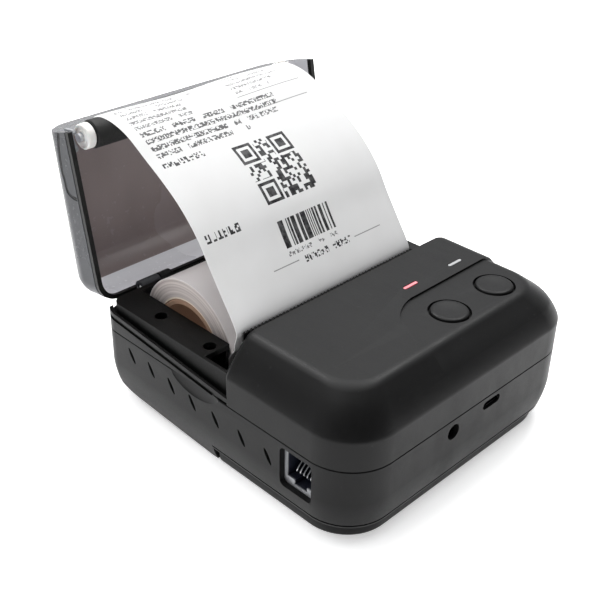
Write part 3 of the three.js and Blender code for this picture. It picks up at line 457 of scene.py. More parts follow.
class Page(Nodes):
    """Ink on the strip, from its UV map: u across from the left and v up from the tear edge, in mm."""

    def __init__(self, name):
        super().__init__(name)
        place = self.split(self.add("ShaderNodeTexCoord").outputs["UV"])
        self.u = self.times(place[0], UV_MM)
        self.v = self.times(place[1], UV_MM)
        self.ink = 0.0

    def within(self, value, low, high):
        return self.times(self.above(value, low), self.below(value, high))

    def area(self, left, right, bottom, top):
        return self.times(self.within(self.u, left, right), self.within(self.v, bottom, top))

    def steps(self, value, start, size):
        return self.over(self.minus(value, start), size)

    def index(self, value, start, size):
        return self.math("FLOOR", self.steps(value, start, size))

    def chance(self, first, second, seed):
        joined = self.add("ShaderNodeCombineXYZ")
        for socket, value in zip(joined.inputs, (first, second, seed)):
            self.put(socket, value)
        noise = self.add("ShaderNodeTexWhiteNoise", noise_dimensions="3D")
        self.put(noise.inputs["Vector"], joined.outputs[0])
        return noise.outputs["Value"]

    def draw(self, mask, strength=1.0):
        amount = self.times(mask, strength) if strength < 1 else mask
        self.ink = self.math("MAXIMUM", self.ink, amount)

    def strokes(self, left, bottom, height, pitch, seed, threshold):
        """Small cells, each inked or bare, four to the height of a row."""
        across = self.index(self.u, left, pitch / 3.5)
        up = self.index(self.v, bottom, height / 4)
        return self.above(self.chance(across, up, seed), threshold)

    def marks(self, left, right, bottom, height, pitch, seed):
        """A row of meaningless marks the size of small print, in groups the length of words."""
        strokes = self.strokes(left, bottom, height, pitch, seed, 0.47)
        word = self.math("FLOOR", self.over(self.index(self.u, left, pitch), 1.7))
        words = self.above(self.chance(word, 0.0, seed + 1), 0.16)
        spaced = self.below(self.math("FRACT", self.steps(self.u, left, pitch)), 0.8)
        return self.times(strokes, words, spaced, self.area(left, right, bottom, bottom + height))

    def block(self, left, right, bottom, rows, spacing, height, pitch, seed):
        """Several rows of marks whose ends stop at different places."""
        row = self.index(self.v, bottom, spacing)
        inside = self.below(self.math("FRACT", self.steps(self.v, bottom, spacing)), height / spacing)
        strokes = self.strokes(left, bottom, height, pitch, seed, 0.46)
        word = self.index(self.u, left, pitch * 1.9)
        words = self.above(self.chance(word, row, seed + 1), 0.2)
        shortest = left + (right - left) * 0.55
        end = self.spread(self.chance(row, 3.0, seed + 2), 0, 1, shortest, right)
        area = self.area(left, right, bottom, bottom + rows * spacing)
        return self.times(strokes, words, inside, self.below(self.u, end), area)

    def corner_square(self, u, v, size):
        """A square inside a square ring, and the clear space that it keeps round itself."""
        across = self.math("ABSOLUTE", self.minus(self.u, u))
        up = self.math("ABSOLUTE", self.minus(self.v, v))
        away = self.over(self.math("MAXIMUM", across, up), size)
        ring = self.within(away, 2.5, 3.5)
        return self.math("MAXIMUM", self.below(away, 1.5), ring), self.below(away, 4.3)

    def code_square(self, left, bottom, size, cells):
        """A square of random cells with three corner squares. It can't be decoded."""
        cell = size / cells
        place = self.index(self.u, left, cell), self.index(self.v, bottom, cell)
        fill = self.above(self.chance(*place, 5.0), 0.5)
        near, far = 3.5 * cell, size - 3.5 * cell
        for u, v in ((near, far), (far, far), (near, near)):
            shape, clear = self.corner_square(left + u, bottom + v, cell)
            fill = self.math("MAXIMUM", shape, self.times(fill, self.minus(1.0, clear)))
        return self.times(fill, self.area(left, left + size, bottom, bottom + size))

    def bars(self, left, right, bottom, top, width):
        column = self.above(self.chance(self.index(self.u, left, width), 1.0, 9.0), 0.42)
        return self.times(column, self.area(left, right, bottom, top))


def printed_paper():
    """Thermal paper with generic print: a code square, bars, rules and rows of marks."""
    page = Page("printed_thermal_paper")
    page.draw(page.code_square(29.2, 30.6, 22.2, 21))
    page.draw(page.bars(28.4, 52.9, 15.8, 24.8, 0.43))
    page.draw(page.marks(29.5, 51.5, 13.2, 1.5, 1.5, 21.0), 0.8)
    page.draw(page.marks(35, 56, 9.4, 2.2, 1.8, 33.0))
    for left, right, level in ((21.5, 32.4, 10.9), (57.8, 70.4, 10.2), (46, 74, 70.4), (52, 72, 63.4)):
        page.draw(page.area(left, right, level, level + 0.32), 0.7)
    page.draw(page.marks(2.5, 16.3, 26.6, 2.8, 2.3, 41.0))
    page.draw(page.marks(3.5, 19.3, 53.2, 2.2, 2.0, 51.0))
    page.draw(page.block(4.0, 62.0, 57.4, 4, 3.0, 1.9, 1.6, 61.0), 0.9)
    page.draw(page.block(4.0, 36.0, 69.6, 6, 2.7, 1.5, 1.5, 71.0), 0.75)
    page.draw(page.block(47.0, 74.0, 72.0, 5, 2.7, 1.4, 1.5, 81.0), 0.7)
    fibres = page.noise(700, 4, 0.7, (1, 0.3, 1))
    cloud = page.vary(page.noise(60, 3, 0.5), 0, 1)
    # painted shade: the sheet's colour darkens with height, from 0.86 at 52 mm to 0.71 at 88 mm, to tone
    # down the light on the upper strip
    low = page.mix(cloud, (0.86, 0.86, 0.86, 1), (0.82, 0.82, 0.815, 1))
    high = page.mix(cloud, (0.71, 0.71, 0.71, 1), (0.685, 0.685, 0.68, 1))
    sheet = page.mix(page.spread(page.split(page.position)[2], 0.052, 0.088, 0, 1), low, high)
    fade = page.spread(page.noise(500, 2), 0.35, 0.65, 0.9, 1.0)
    colour = page.mix(page.times(page.ink, fade), sheet, (0.010, 0.009, 0.011, 1))
    return page.surface(colour, fibres, (0.52, 0.62), 0.12, 0.03, Specular_IOR_Level=0.25)


ROLL_PAPER = roll_paper()
PRINTED = printed_paper()
# Painted light: copies of the smoky plastic for the inside of the lid. The panel inside its back is
# brighter and browner, and the inside of its walls is pale with a painted glow, for light that comes
# through the lid.
SMOKE_PANEL_PAINTED_LIGHT = smoke("smoky_panel_painted_light", (0.27, 0.218, 0.214, 1), (0.34, 0.28, 0.276, 1), 0.92)
SMOKE_PALE_PAINTED_LIGHT = smoke("smoky_slope_painted_light", (0.46, 0.46, 0.49, 1), (0.56, 0.56, 0.59, 1), 0.95, 0.36)

make_camera()
make_light()
finish_cad_nodes()


# ---- mesh building
SMOOTH_DEG, BEVEL_DEG, BEVEL_SEGMENTS = 32.0, 38.0, 2


def mesh_object(name, points, faces):
    """A mesh object from points in millimetres."""
    mesh = bpy.data.meshes.new(name)
    mesh.from_pydata([Vector(p) * MM for p in points], [], faces)
    piece = bpy.data.objects.new(name, mesh)
    scene.collection.objects.link(piece)
    return piece


def tidy_mesh(piece, merge=True):
    """Merges doubled points if asked, and turns all faces outwards."""
    work = bmesh.new()
    work.from_mesh(piece.data)
    if merge:
        bmesh.ops.remove_doubles(work, verts=work.verts, dist=1e-6)
    bmesh.ops.recalc_face_normals(work, faces=work.faces)
    work.to_mesh(piece.data)
    work.free()


def shade(piece, smooth_deg=SMOOTH_DEG):
    piece.data.shade_smooth()
    piece.data.set_sharp_from_angle(angle=math.radians(smooth_deg))


def apply_modifiers(piece):
    graph = bpy.context.evaluated_depsgraph_get()
    result = piece.evaluated_get(graph)
    made = bpy.data.meshes.new_from_object(result, preserve_all_data_layers=True, depsgraph=graph)
    old = piece.data
    piece.modifiers.clear()
    piece.data = made
    made.name = old.name + "_made"
    bpy.data.meshes.remove(old)


def combine(piece, tool, how="DIFFERENCE"):
    """Cuts, joins or intersects a piece with a tool, and removes the tool."""
    change = piece.modifiers.new("combine", "BOOLEAN")
    change.operation, change.solver, change.object = how, "EXACT", tool
    apply_modifiers(piece)
    old = tool.data
    bpy.data.objects.remove(tool)
    bpy.data.meshes.remove(old)


def soften(piece, width):
    """Rounds the sharp edges and then evens the shading of the large flat faces."""
    bevel = piece.modifiers.new("soften", "BEVEL")
    bevel.width, bevel.segments, bevel.limit_method = width * MM, BEVEL_SEGMENTS, "ANGLE"
    bevel.angle_limit = math.radians(BEVEL_DEG)
    bevel.use_clamp_overlap = True
    bevel.miter_outer = "MITER_ARC"
    apply_modifiers(piece)
    shade(piece)
    even = piece.modifiers.new("even", "WEIGHTED_NORMAL")
    even.keep_sharp = True
    apply_modifiers(piece)


def loft(name, sections, closed_path=False):
    """Skins a list of outlines, each with the same number of points, and caps an open path."""
    count = len(sections[0])
    points = [p for section in sections for p in section]
    faces = []
    rows = len(sections)
    for r in range(rows if closed_path else rows - 1):
        for i in range(count):
            a, b = r * count + i, r * count + (i + 1) % count
            up = ((r + 1) % rows - r) * count
            faces.append((a, b, b + up, a + up))
    if not closed_path:
        faces.append(tuple(reversed(range(count))))
        faces.append(tuple(range((rows - 1) * count, rows * count)))
    piece = mesh_object(name, points, faces)
    tidy_mesh(piece)
    shade(piece)
    return piece


def placed(outline, axis, at):
    """Points of a 2-D outline on the plane where one axis has a value."""
    if axis == "x":
        return [(at, a, b) for a, b in outline]
    if axis == "y":
        return [(a, at, b) for a, b in outline]
    return [(a, b, at) for a, b in outline]


def prism(name, outline, axis, start, end):
    return loft(name, [placed(outline, axis, start), placed(outline, axis, end)])


def ring_points(centre, radius, sides):
    turns = [2 * math.pi * i / sides for i in range(sides)]
    return [(centre[0] + radius * math.cos(t), centre[1] + radius * math.sin(t)) for t in turns]


def arc(centre, radius, first_deg, last_deg, steps):
    turns = [math.radians(first_deg + (last_deg - first_deg) * i / steps) for i in range(steps + 1)]
    return [(centre[0] + radius * math.cos(t), centre[1] + radius * math.sin(t)) for t in turns]


def rounded(centre, width, height, radius):
    """A rounded rectangle's outline round a centre."""
    points = []
    for sx, sy, first in ((1, 1, 0), (-1, 1, 90), (-1, -1, 180), (1, -1, 270)):
        corner = centre[0] + sx * (width / 2 - radius), centre[1] + sy * (height / 2 - radius)
        points += arc(corner, radius, first, first + 90, 6)
    return points


def rod(name, axis, centre, radius, start, end, sides=32):
    return prism(name, ring_points(centre, radius, sides), axis, start, end)


def lathe(name, axis, centre, profile, sides):
    """Turns (radius, along) points about an axis. The profile closes, or has both ends on the axis."""
    sections = []
    for radius, along in profile:
        sections.append(placed(ring_points(centre, max(radius, 0.001), sides), axis, along))
    closed = profile[0][0] > 0.01 and profile[-1][0] > 0.01
    return loft(name, sections, closed)


def box(name, low, high):
    outline = [(low[0], low[1]), (high[0], low[1]), (high[0], high[1]), (low[0], high[1])]
    return prism(name, outline, "z", low[2], high[2])


def filleted(path, radius, steps):
    """Rounds the inner corners of a list of 2-D points."""
    made = [path[0]]
    for before, corner, after in zip(path, path[1:], path[2:]):
        b, c, a = Vector(before), Vector(corner), Vector(after)
        reach = min(radius, (b - c).length * 0.49, (a - c).length * 0.49)
        start, end = c + (b - c).normalized() * reach, c + (a - c).normalized() * reach
        for i in range(steps + 1):
            t = i / steps
            made.append(tuple(start * (1 - t) ** 2 + c * 2 * t * (1 - t) + end * t * t))
    return made + [path[-1]]


# ---- housing
CORNER_STEPS = 20
FAR = 60        # beyond every part of the housing, for the ends of the cutting tools


def plan(half, front, rear, front_radius, rear_radius):
    """A rounded rectangle with its own radius in front and behind."""
    points = []
    corners = (
        (half - rear_radius, rear - rear_radius, rear_radius, 0),
        (-half + rear_radius, rear - rear_radius, rear_radius, 90),
        (-half + front_radius, front + front_radius, front_radius, 180),
        (half - front_radius, front + front_radius, front_radius, 270),
    )
    for x, y, radius, first in corners:
        points += arc((x, y), radius, first, first + 90, CORNER_STEPS)
    return points


def housing_plan(inset, rear=None, rear_radius=None):
    """The housing's outline drawn in; the deck's outline stops at its own rear edge."""
    back = REAR_Y - inset if rear is None else rear
    behind = max(REAR_CORNER - 0.55 * inset, 1) if rear_radius is None else rear_radius
    return plan(HALF_WIDTH - inset, FRONT_Y + inset, back, max(FRONT_CORNER - 0.55 * inset, 1), behind)


def lower_inset(z):
    return 0 if z >= FLARE_Z else BASE_INSET * ((FLARE_Z - z) / FLARE_Z) ** 1.8


def sweep_tool(offset):
    """The side profile that lifts the underside towards the rear."""
    rear = REAR_Y - offset
    curve = [(rear - 17 + 17 * math.cos(t), 19 + offset - 15.6 * math.sin(t))
             for t in (math.radians(90 * i / 20) for i in range(21))]
    outline = [(FRONT_Y - 5, FAR), (FRONT_Y - 5, offset), (6, offset)] + curve[::-1] + [(rear, FAR)]
    return prism("sweep", outline, "x", -FAR, FAR)


def lower_form(name, offset, top):
    heights = [i * FLARE_Z / 14 for i in range(15)] + [top - 0.25, top]
    insets = [lower_inset(z) for z in heights]
    if offset == 0:
        insets[-1] = 0.25
    form = loft(name, [placed(housing_plan(i + offset), "z", z) for i, z in zip(insets, heights)])
    combine(form, sweep_tool(offset), "INTERSECT")
    return form


def vent_outline(y, z):
    """A leaning lens: pointed at both ends and widest in the middle."""
    run, drop = VENT_RUN / 2, VENT_DROP / 2
    length = math.hypot(run, drop)
    outline = []
    for along, side in ring_points((0, 0), 1, 16):
        along, side = along * VENT_STRETCH, side * VENT_BULGE
        outline.append((y - run + run * along + drop / length * side,
                        z - drop + drop * along - run / length * side))
    return outline


def finger_scoop():
    """A shallow scallop under the seam, for a fingertip that lifts the lid."""
    depth, reach, drop, centre_y, sections = 1.2, 12, 6, 9.5, 24
    rows = []
    for i in range(1, sections):
        lean = math.pi * i / sections
        size = math.sin(lean)
        rows.append([(-HALF_WIDTH - 0.2 + depth * size * out, centre_y + reach * math.cos(lean),
                      SEAM_Z + 1 + drop * size * up) for out, up in ring_points((0, 0), 1, 28)])
    return loft("scoop", rows)


def base_groove():
    """A shadow line round the front half, just above the base plate."""
    low, high = 6.1, 6.8
    ring = loft("groove", [placed(housing_plan(-1), "z", z) for z in (low, high)])
    inner = [placed(housing_plan(lower_inset(z) + 0.6), "z", z) for z in (low - 0.5, high + 0.5)]
    combine(ring, loft("groove_inner", inner))
    combine(ring, box("front_half", (-FAR, FRONT_Y - 5, 0), (FAR, 3.4, 20)), "INTERSECT")
    return ring


def make_lower_shell():
    top = SEAM_Z - 0.15
    shell = lower_form("lower_shell_fine", 0, top)
    hollow = lower_form("hollow", WALL, top + 5)
    combine(hollow, box("floor_keep", (-FAR, FRONT_Y - 2, -1), (FAR, 5.4, 7.4)))
    combine(shell, box("base_pocket", (-FAR, FRONT_Y - 2, -1), (FAR, 3.4, 5.4)))
    combine(shell, hollow)
    combine(shell, rod("dc", "y", (DC_X, DC_Z), DC_HOLE, FRONT_Y - 2, FRONT_Y + 4, 40))
    usb = rounded((USB_X, USB_Z), USB_W - 0.3, USB_H - 0.2, 1.4)
    combine(shell, prism("usb", usb, "y", FRONT_Y - 2, FRONT_Y + 4))
    serial = rounded((SERIAL_Y, SERIAL_Z), SERIAL_W, SERIAL_H, 1.6)
    combine(shell, prism("serial", serial, "x", -FAR, -50))
    for y, z in VENT_STARTS:
        combine(shell, prism("vent", vent_outline(y, z), "x", -HALF_WIDTH - 2, -HALF_WIDTH + 1.4))
    combine(shell, finger_scoop())
    combine(shell, base_groove())
    soften(shell, 0.22)
    finish(shell, "shell_black", "housing", "lower_shell")


def finish(piece, slot, body, *nodes):
    """Material, body and the CAD nodes that a piece stands for."""
    piece.data.materials.clear()
    piece.data.materials.append(MATERIALS[slot])
    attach(piece, body)
    if nodes:
        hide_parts(*nodes)


def shoulder_profile(offset, bottom, crease, top, steps, swell, blends):
    """Inset and height up a wall, over its crease and up the swelling shoulder to the flat top."""
    path = [(offset, bottom), (offset, crease)]
    for i in range(1, steps + 1):
        share = i / steps
        inset = SHOULDER * share - swell * 3.2 * share * (1 - share)
        path.append((offset + inset, crease + (top - crease) * share))
    crease_blend, top_blend, cut = blends
    start = filleted(path[:3], crease_blend, 4)[:-1]
    flat = [(offset + SHOULDER - 0.1, top), (offset + SHOULDER + 6, top)]
    end = filleted([path[-cut]] + flat, top_blend, 8)
    return start + path[2:-cut] + end[:-1]


def deck_profile(offset, bottom, top):
    return shoulder_profile(offset, bottom, CREASE_Z, top, 12, 1.5, (1.2, 4.2, 4))


def deck_form(name, offset, bottom, top, rear, lip=0.0):
    sections = []
    for inset, z in deck_profile(offset, bottom, top):
        back = rear - lip * max(0.0, (z - top + 1.2) / 1.2) ** 2
        sections.append(placed(housing_plan(inset, back, 1.2 + 0.08 * inset), "z", z))
    return loft(name, sections)


def panel_outline():
    """The button panel: straight behind, curling forward at its left end and over the front shoulder."""
    curve = []
    ends_and_handles = ((5, -26), (-3, -27.2), (-8.4, -33.5), (-12.5, -39), (-12.8, -48))
    for (ax, ay), (bx, by), (cx, cy) in (ends_and_handles[:3], ends_and_handles[2:]):
        for i in range(12):
            t = i / 12
            curve.append((ax * (1 - t) ** 2 + 2 * bx * t * (1 - t) + cx * t * t,
                          ay * (1 - t) ** 2 + 2 * by * t * (1 - t) + cy * t * t))
    return [(FAR, -FAR), (FAR, -26)] + curve + [(-12.8, -48), (-12.8, -FAR)]


def panel_tool():
    """What the panel takes off the deck: a thin skin that fades out down the shoulder."""
    tool = prism("panel", panel_outline(), "z", CREASE_Z + 1, TOP_Z + 3)
    keep = []
    for inset, z in deck_profile(0, CREASE_Z, TOP_Z):
        fade = min(1.0, max(0.0, (z - 42.5) / 6))
        drawn = inset + (PANEL_DEPTH + 0.3) * fade - 0.3
        keep.append(placed(housing_plan(drawn, 5, 1.0), "z", z - PANEL_DEPTH * fade * fade))
    combine(tool, loft("keep", keep))
    return tool


def hinge_lug(centre):
    start, end = centre + 3.3, centre + 8
    lug = rod("lug", "x", (HINGE_Y, HINGE_Z), KNUCKLE_RADIUS, start, end, 40)
    combine(lug, box("web", (start, HINGE_Y - 2.4, 31), (end, HINGE_Y + 0.5, HINGE_Z - 0.6)), "UNION")
    return lug


def ledge_height(y):
    """The sloping ledge that the lid's seal lands on."""
    return HINGE_Z - 0.3 - (HINGE_Y - y) * math.tan(math.radians(LID_SLOPE))


def ledge_tool():
    """Everything under the ledge."""
    ledge = [(y, ledge_height(y)) for y in (70, -70)]
    return prism("ledge", [(-70, 20), (70, 20)] + ledge, "x", -FAR, FAR)


def ledge_groove(low, high, inset_from, inset_to):
    """A channel that follows the ledge, between two heights from it and two insets of the plan."""
    corners = ((-70, high), (70, high), (70, low), (-70, low))
    outline = [(y, ledge_height(y) + rise) for y, rise in corners]
    channel = prism("channel", outline, "x", -FAR, FAR)
    ring = loft("ring", [placed(housing_plan(inset_from), "z", z) for z in (20, 50)])
    combine(ring, loft("ring_inner", [placed(housing_plan(inset_to), "z", z) for z in (19, 51)]))
    combine(channel, ring, "INTERSECT")
    return channel


def rail_plan(clearance):
    half = HALF_WIDTH - RAIL_INSET + clearance
    return plan(half, FRONT_Y + 20, BAY_REAR_Y + 2.2 + clearance, 3, 4 + clearance)


def cut_bay(piece):
    combine(piece, box("bay", (BAY_LEFT_X, DECK_REAR_Y, 20), (BAY_RIGHT_X, BAY_REAR_Y, 60)))
    combine(piece, box("nip", (-51.6, DECK_REAR_Y, 20), (44, 7.6, 60)))
    combine(piece, box("head_room", (-50.6, DECK_REAR_Y - 3, 20), (44, DECK_REAR_Y + 1, 39)))


def make_top_shell():
    bottom = SEAM_Z + 0.15
    shell = deck_form("top_shell_fine", 0, bottom, TOP_Z, DECK_REAR_Y, 0.5)
    combine(shell, deck_form("deck_hollow", WALL, bottom - 1, TOP_Z - WALL, DECK_REAR_Y - 1.6))
    rim = loft("rim", [placed(housing_plan(0), "z", z) for z in (bottom, 45)])
    combine(rim, ledge_tool(), "INTERSECT")
    combine(rim, loft("rim_inner", [placed(rail_plan(0.3), "z", z) for z in (bottom - 1, 46)]))
    combine(rim, box("hinge_relief", (-FAR, HINGE_Y - 2.3, HINGE_Z - 2.6), (FAR, FAR, FAR)))
    combine(rim, box("behind", (-FAR, DECK_REAR_Y - 1, 20), (FAR, FAR, FAR)), "INTERSECT")
    combine(rim, ledge_groove(-2.4, 0.5, 1.0, 2.2))
    combine(rim, ledge_groove(-2.9, -1.5, -1.0, 0.65))
    combine(shell, rim, "UNION")
    cut_bay(shell)
    for x, y in BUTTONS:
        combine(shell, rod("key_hole", "z", (x, y), BUTTON_HOLE, 45, 55, 64))
    for place in LIGHTS:
        hole = rounded(place, LIGHT_SIZE[0] + 0.5, LIGHT_SIZE[1] + 0.5, 0.85)
        combine(shell, prism("light_hole", hole, "z", 45, 55))
    combine(shell, panel_tool())
    for centre in KNUCKLE_CENTRES:
        combine(shell, hinge_lug(centre), "UNION")
    for centre in KNUCKLE_CENTRES:
        combine(shell, rod("pin_bore", "x", (HINGE_Y, HINGE_Z), PIN_BORE, centre - 10, centre + 10, 24))
        combine(shell, rod("knuckle_room", "x", (HINGE_Y, HINGE_Z), 2.8, centre - 5.3, centre + 3, 40))
    soften(shell, 0.2)
    finish(shell, "shell_black", "housing", "top_shell")


def make_bay_frame():
    bottom = SEAM_Z + 0.15
    rails = loft("bay_frame_fine", [placed(rail_plan(0), "z", z) for z in (bottom, RAIL_TOP_Z)])
    combine(rails, box("behind", (-FAR, DECK_REAR_Y + 0.3, 20), (FAR, FAR, FAR)), "INTERSECT")
    reach = HALF_WIDTH - RAIL_INSET - 1.8
    far_corner = (reach, BAY_REAR_Y + 1, RAIL_TOP_Z - 2)
    combine(rails, box("underside", (-reach, DECK_REAR_Y - 4, 20), far_corner))
    cut_bay(rails)
    for y in (35.2, 10.9):
        combine(rails, rod("rail_hole", "z", (-46.9, y), 2.1, 30, 45, 32))
    soften(rails, 0.35)
    finish(rails, "frame_black", "housing", "bay_frame")


def make_base_plate():
    """The base: a lipped tray under the front half, with screw wells and pad wells."""
    def outline(inset):
        return plan(HALF_WIDTH - inset, FRONT_Y + inset, 3.1, 15.4, 1.5)
    levels = ((3.9, 0), (3.6, 0.5), (3.4, 1.2), (3.2, 3), (3.1, 5.1))
    plate = loft("base_plate_fine", [placed(outline(inset), "z", z) for inset, z in levels])
    for x, y in ((-42, -40), (42, -40), (-42, -4), (42, -4)):
        combine(plate, rod("well", "z", (x, y), 3, -1, 3.2, 32))
        combine(plate, rod("hole", "z", (x, y), 1.5, 3, 6, 24))
    for side in (-1, 1):
        combine(plate, rod("pad_well", "z", (side * 30, -46), 5.3, -1, 1.6, 40))
    for y in (-30, -22, -14):
        combine(plate, prism("slot", rounded((0, y), 34, 2.2, 1.05), "z", -1, 0.7))
    soften(plate, 0.2)
    finish(plate, "shell_black", "housing", "base_plate")


make_lower_shell()
make_top_shell()
make_bay_frame()
make_base_plate()


# ---- lid
def lid_place(x, p, q):
    """A point of the lid's hinge frame in the open lid: p is negative towards the free edge, q out."""
    turn = math.radians(LID_SLOPE - LID_OPEN)
    along, up = math.cos(turn), math.sin(turn)
    return (x, HINGE_Y + p * along - q * up, HINGE_Z + p * up + q * along)


def open_lid(piece):
    """Swings a piece that was built in the hinge frame (y is p, z is q) to the open lid."""
    for vertex in piece.data.vertices:
        vertex.co = Vector(lid_place(*(vertex.co / MM))) * MM
    return piece


def lid_plan(inset):
    return plan(HALF_WIDTH - inset, -75, LID_REAR - inset * 0.75, 1, max(REAR_CORNER - 0.5 * inset, 1))


def lid_form(name, offset, bottom):
    profile = shoulder_profile(offset, bottom, LID_CREASE, LID_DEPTH - offset, 10, 2.8, (1.0, 3.2, 3))
    return loft(name, [placed(lid_plan(inset), "z", q) for inset, q in profile])


def behind_front(reach):
    lean = math.tan(math.radians(LID_SLOPE))
    front = reach / math.cos(math.radians(LID_SLOPE))
    outline = [(-front - 30 * lean, -30), (20, -30), (20, 40), (-front + 40 * lean, 40)]
    return prism("behind_front", outline, "x", -FAR, FAR)


def tube(name, path, radius):
    """A round wire along a list of 3-D points."""
    sides = 10
    points = [Vector(p) for p in path]
    sections = []
    for i, p in enumerate(points):
        along = (points[min(i + 1, len(points) - 1)] - points[max(i - 1, 0)]).normalized()
        side = along.orthogonal() if i == 0 else side - along * side.dot(along)
        side.normalize()
        other = along.cross(side)
        sections.append([tuple(p + (side * math.cos(t) + other * math.sin(t)) * radius)
                         for t in (2 * math.pi * k / sides for k in range(sides))])
    return loft(name, sections)


def spline(t, p, q, r, s):
    bend, twist = 2 * p - 5 * q + 4 * r - s, 3 * q - p - 3 * r + s
    return 0.5 * ((2 * q) + (r - p) * t + bend * t * t + twist * t ** 3)


def smooth_path(points, steps):
    """A Catmull-Rom curve through 2-D points."""
    made = []
    padded = [points[0]] + points + [points[-1]]
    for four in zip(padded, padded[1:], padded[2:], padded[3:]):
        for i in range(steps):
            made.append(tuple(spline(i / steps, *values) for values in zip(*four)))
    return made + [points[-1]]


WING_LINE = [(-58.3, 5.7), (-52.6, 7.3), (-45.8, 8.0), (-42.5, 7.4), (-38.8, 7.0), (-37.1, 5.2),
             (-36.6, 2.3)]


def lid_knuckle(centre):
    rear = LID_REAR - 0.07
    arm = box("arm", (centre - 5, rear - LID_WALL + 0.14, 0.5), (centre + 2.7, rear, 5))
    combine(arm, rod("barrel", "x", (0, 0), KNUCKLE_RADIUS, centre - 5, centre + 2.7, 40), "UNION")
    return arm


def crown_lid(shell):
    """Swells the lid's back a little, most of all near the hinge."""
    for vertex in shell.data.vertices:
        share = min(max(-vertex.co[1] / MM / (LID_REACH - 3), 0.0), 1.0)
        proud = max(vertex.co[2] / MM - GASKET - 2, 0.0)
        vertex.co[2] += proud * LID_CROWN * max(math.sin(math.pi * share ** 0.5), 0.0) ** 1.5 * MM


def paint_light_inside_lid(shell):
    """Painted light: the inside of the lid's back gets a brighter brown copy of the smoky plastic, and
    the inside of its walls a pale copy with a painted glow, where light comes through the lid.
    """
    shell.data.materials.append(SMOKE_PALE_PAINTED_LIGHT)
    shell.data.materials.append(SMOKE_PANEL_PAINTED_LIGHT)
    turn = math.radians(LID_OPEN - LID_SLOPE)
    for face in shell.data.polygons:
        x, y, z = face.center / MM
        dy, dz = y - HINGE_Y, z - HINGE_Z
        p = dy * math.cos(turn) - dz * math.sin(turn)
        q = dy * math.sin(turn) + dz * math.cos(turn)
        outward = face.normal[1] * math.sin(turn) + face.normal[2] * math.cos(turn)
        within = min(HALF_WIDTH - abs(x), LID_REAR - p, LID_REACH + p)
        if q > PALE_TOP and outward < -0.02:
            face.material_index = 2
        elif GASKET + 0.9 < q <= PALE_TOP and within > 1.2 and outward < 0.3:
            face.material_index = 1


def make_lid_shell():
    shell = lid_form("lid_shell_fine", 0, GASKET)
    combine(shell, behind_front(LID_REACH), "INTERSECT")
    inner = lid_form("lid_hollow", LID_WALL, GASKET - 1)
    combine(inner, behind_front(LID_REACH - LID_WALL), "INTERSECT")
    combine(shell, inner)
    reach = HALF_WIDTH - LID_WALL
    combine(shell, box("platen_mouth", (-reach, -70, -5), (reach, -55, 8.6)))
    for centre in KNUCKLE_CENTRES:
        combine(shell, rod("relief", "x", (0, 0), 3.1, centre - 4.9, centre + 8.4, 40))
    for centre in KNUCKLE_CENTRES:
        combine(shell, lid_knuckle(centre), "UNION")
        combine(shell, rod("bore", "x", (0, 0), PIN_BORE, centre - 9, centre + 9, 24))
    line = [(-HALF_WIDTH, p, q) for p, q in smooth_path(WING_LINE, 6)]
    combine(shell, tube("wing_groove", line, 0.62))
    soften(shell, 0.22)
    crown_lid(shell)
    open_lid(shell)
    finish(shell, "smoke", "lid", "lid_shell")
    paint_light_inside_lid(shell)
    wire = open_lid(tube("wing_line", [(x + 0.5, p, q) for x, p, q in line], 0.48))
    finish(wire, "seal_rubber", "lid")


def make_platen():
    """The rubber roller, and a bush at each end with a dished outer face."""
    centre = lid_place(0, PLATEN_P, PLATEN_Q)[1:]
    inner, outer, chamfer, left, right = 1.8, PLATEN_RADIUS, 0.3, -46.6, 32.6
    profile = [(inner, left), (outer - chamfer, left), (outer, left + chamfer),
               (outer, right - chamfer), (outer - chamfer, right), (inner, right)]
    rubber_roller = lathe("platen_rubber_fine", "x", centre, profile, 64)
    finish(rubber_roller, "roller_rubber", "platen", "platen_rubber")
    bore, outer, dish = 1.65, BUSH_RADIUS, 0.35
    for side, start, end in (("left", -49.9, -46.9), ("right", 33, 36)):
        node = "platen_bush_" + side
        profile = [(bore, start), (bore + 0.3, start), (2.1, start + dish), (3.3, start + dish),
                   (3.5, start), (outer - chamfer, start), (outer, start + chamfer),
                   (outer, end - chamfer), (outer - chamfer, end), (bore, end)]
        finish(lathe(node + "_fine", "x", centre, profile, 64), "white_plastic", body_of(node), node)


def make_left_bracket():
    """A low saddle behind the bush, so that the bush's face shows from the side."""
    outline = [(-58.6, 7.7), (-58.6, 3.2), (-57.8, 2.4), (-57.0, 3.2)]
    outline += arc((PLATEN_P, PLATEN_Q), BUSH_RADIUS + 0.1, 100, 38, 10)
    outline += [(-51.9, 3.2), (-51.0, 4.2), (-51.0, 7.7)]
    bracket = prism("platen_bracket_left_fine", outline, "x", -51.4, -50.2)
    combine(bracket, box("foot", (-52.9, -58, 6.9), (-51.3, -51.6, 7.7)), "UNION")
    soften(bracket, 0.15)
    open_lid(bracket)
    finish(bracket, "grey_plastic", "lid", "platen_bracket_left")


def body_of(node):
    """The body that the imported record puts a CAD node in."""
    return next(name for name, nodes in frame["record"]["behaviour"]["bodies"].items() if node in nodes)


# ---- buttons and lights
def make_buttons():
    """Round caps with a raised rim and a dished top, on a flange under the deck."""
    r = BUTTON_RADIUS
    profile = [(0.0, 47.4), (2.2, 47.4), (2.2, 47.9), (7.4, 47.9), (7.4, 48.2), (r, 48.2), (r, 49.75),
               (r - 0.12, 50.05), (r - 0.4, 50.28), (r - 0.9, 50.42), (r - 1.7, 50.4), (3, 50.18),
               (0.0, 50.12)]
    for name, place in zip(("power", "feed"), BUTTONS):
        cap = lathe(name + "_button_fine", "z", place, profile, 96)
        shade(cap, 50)
        finish(cap, "button_black", name + "_key", name + "_button")


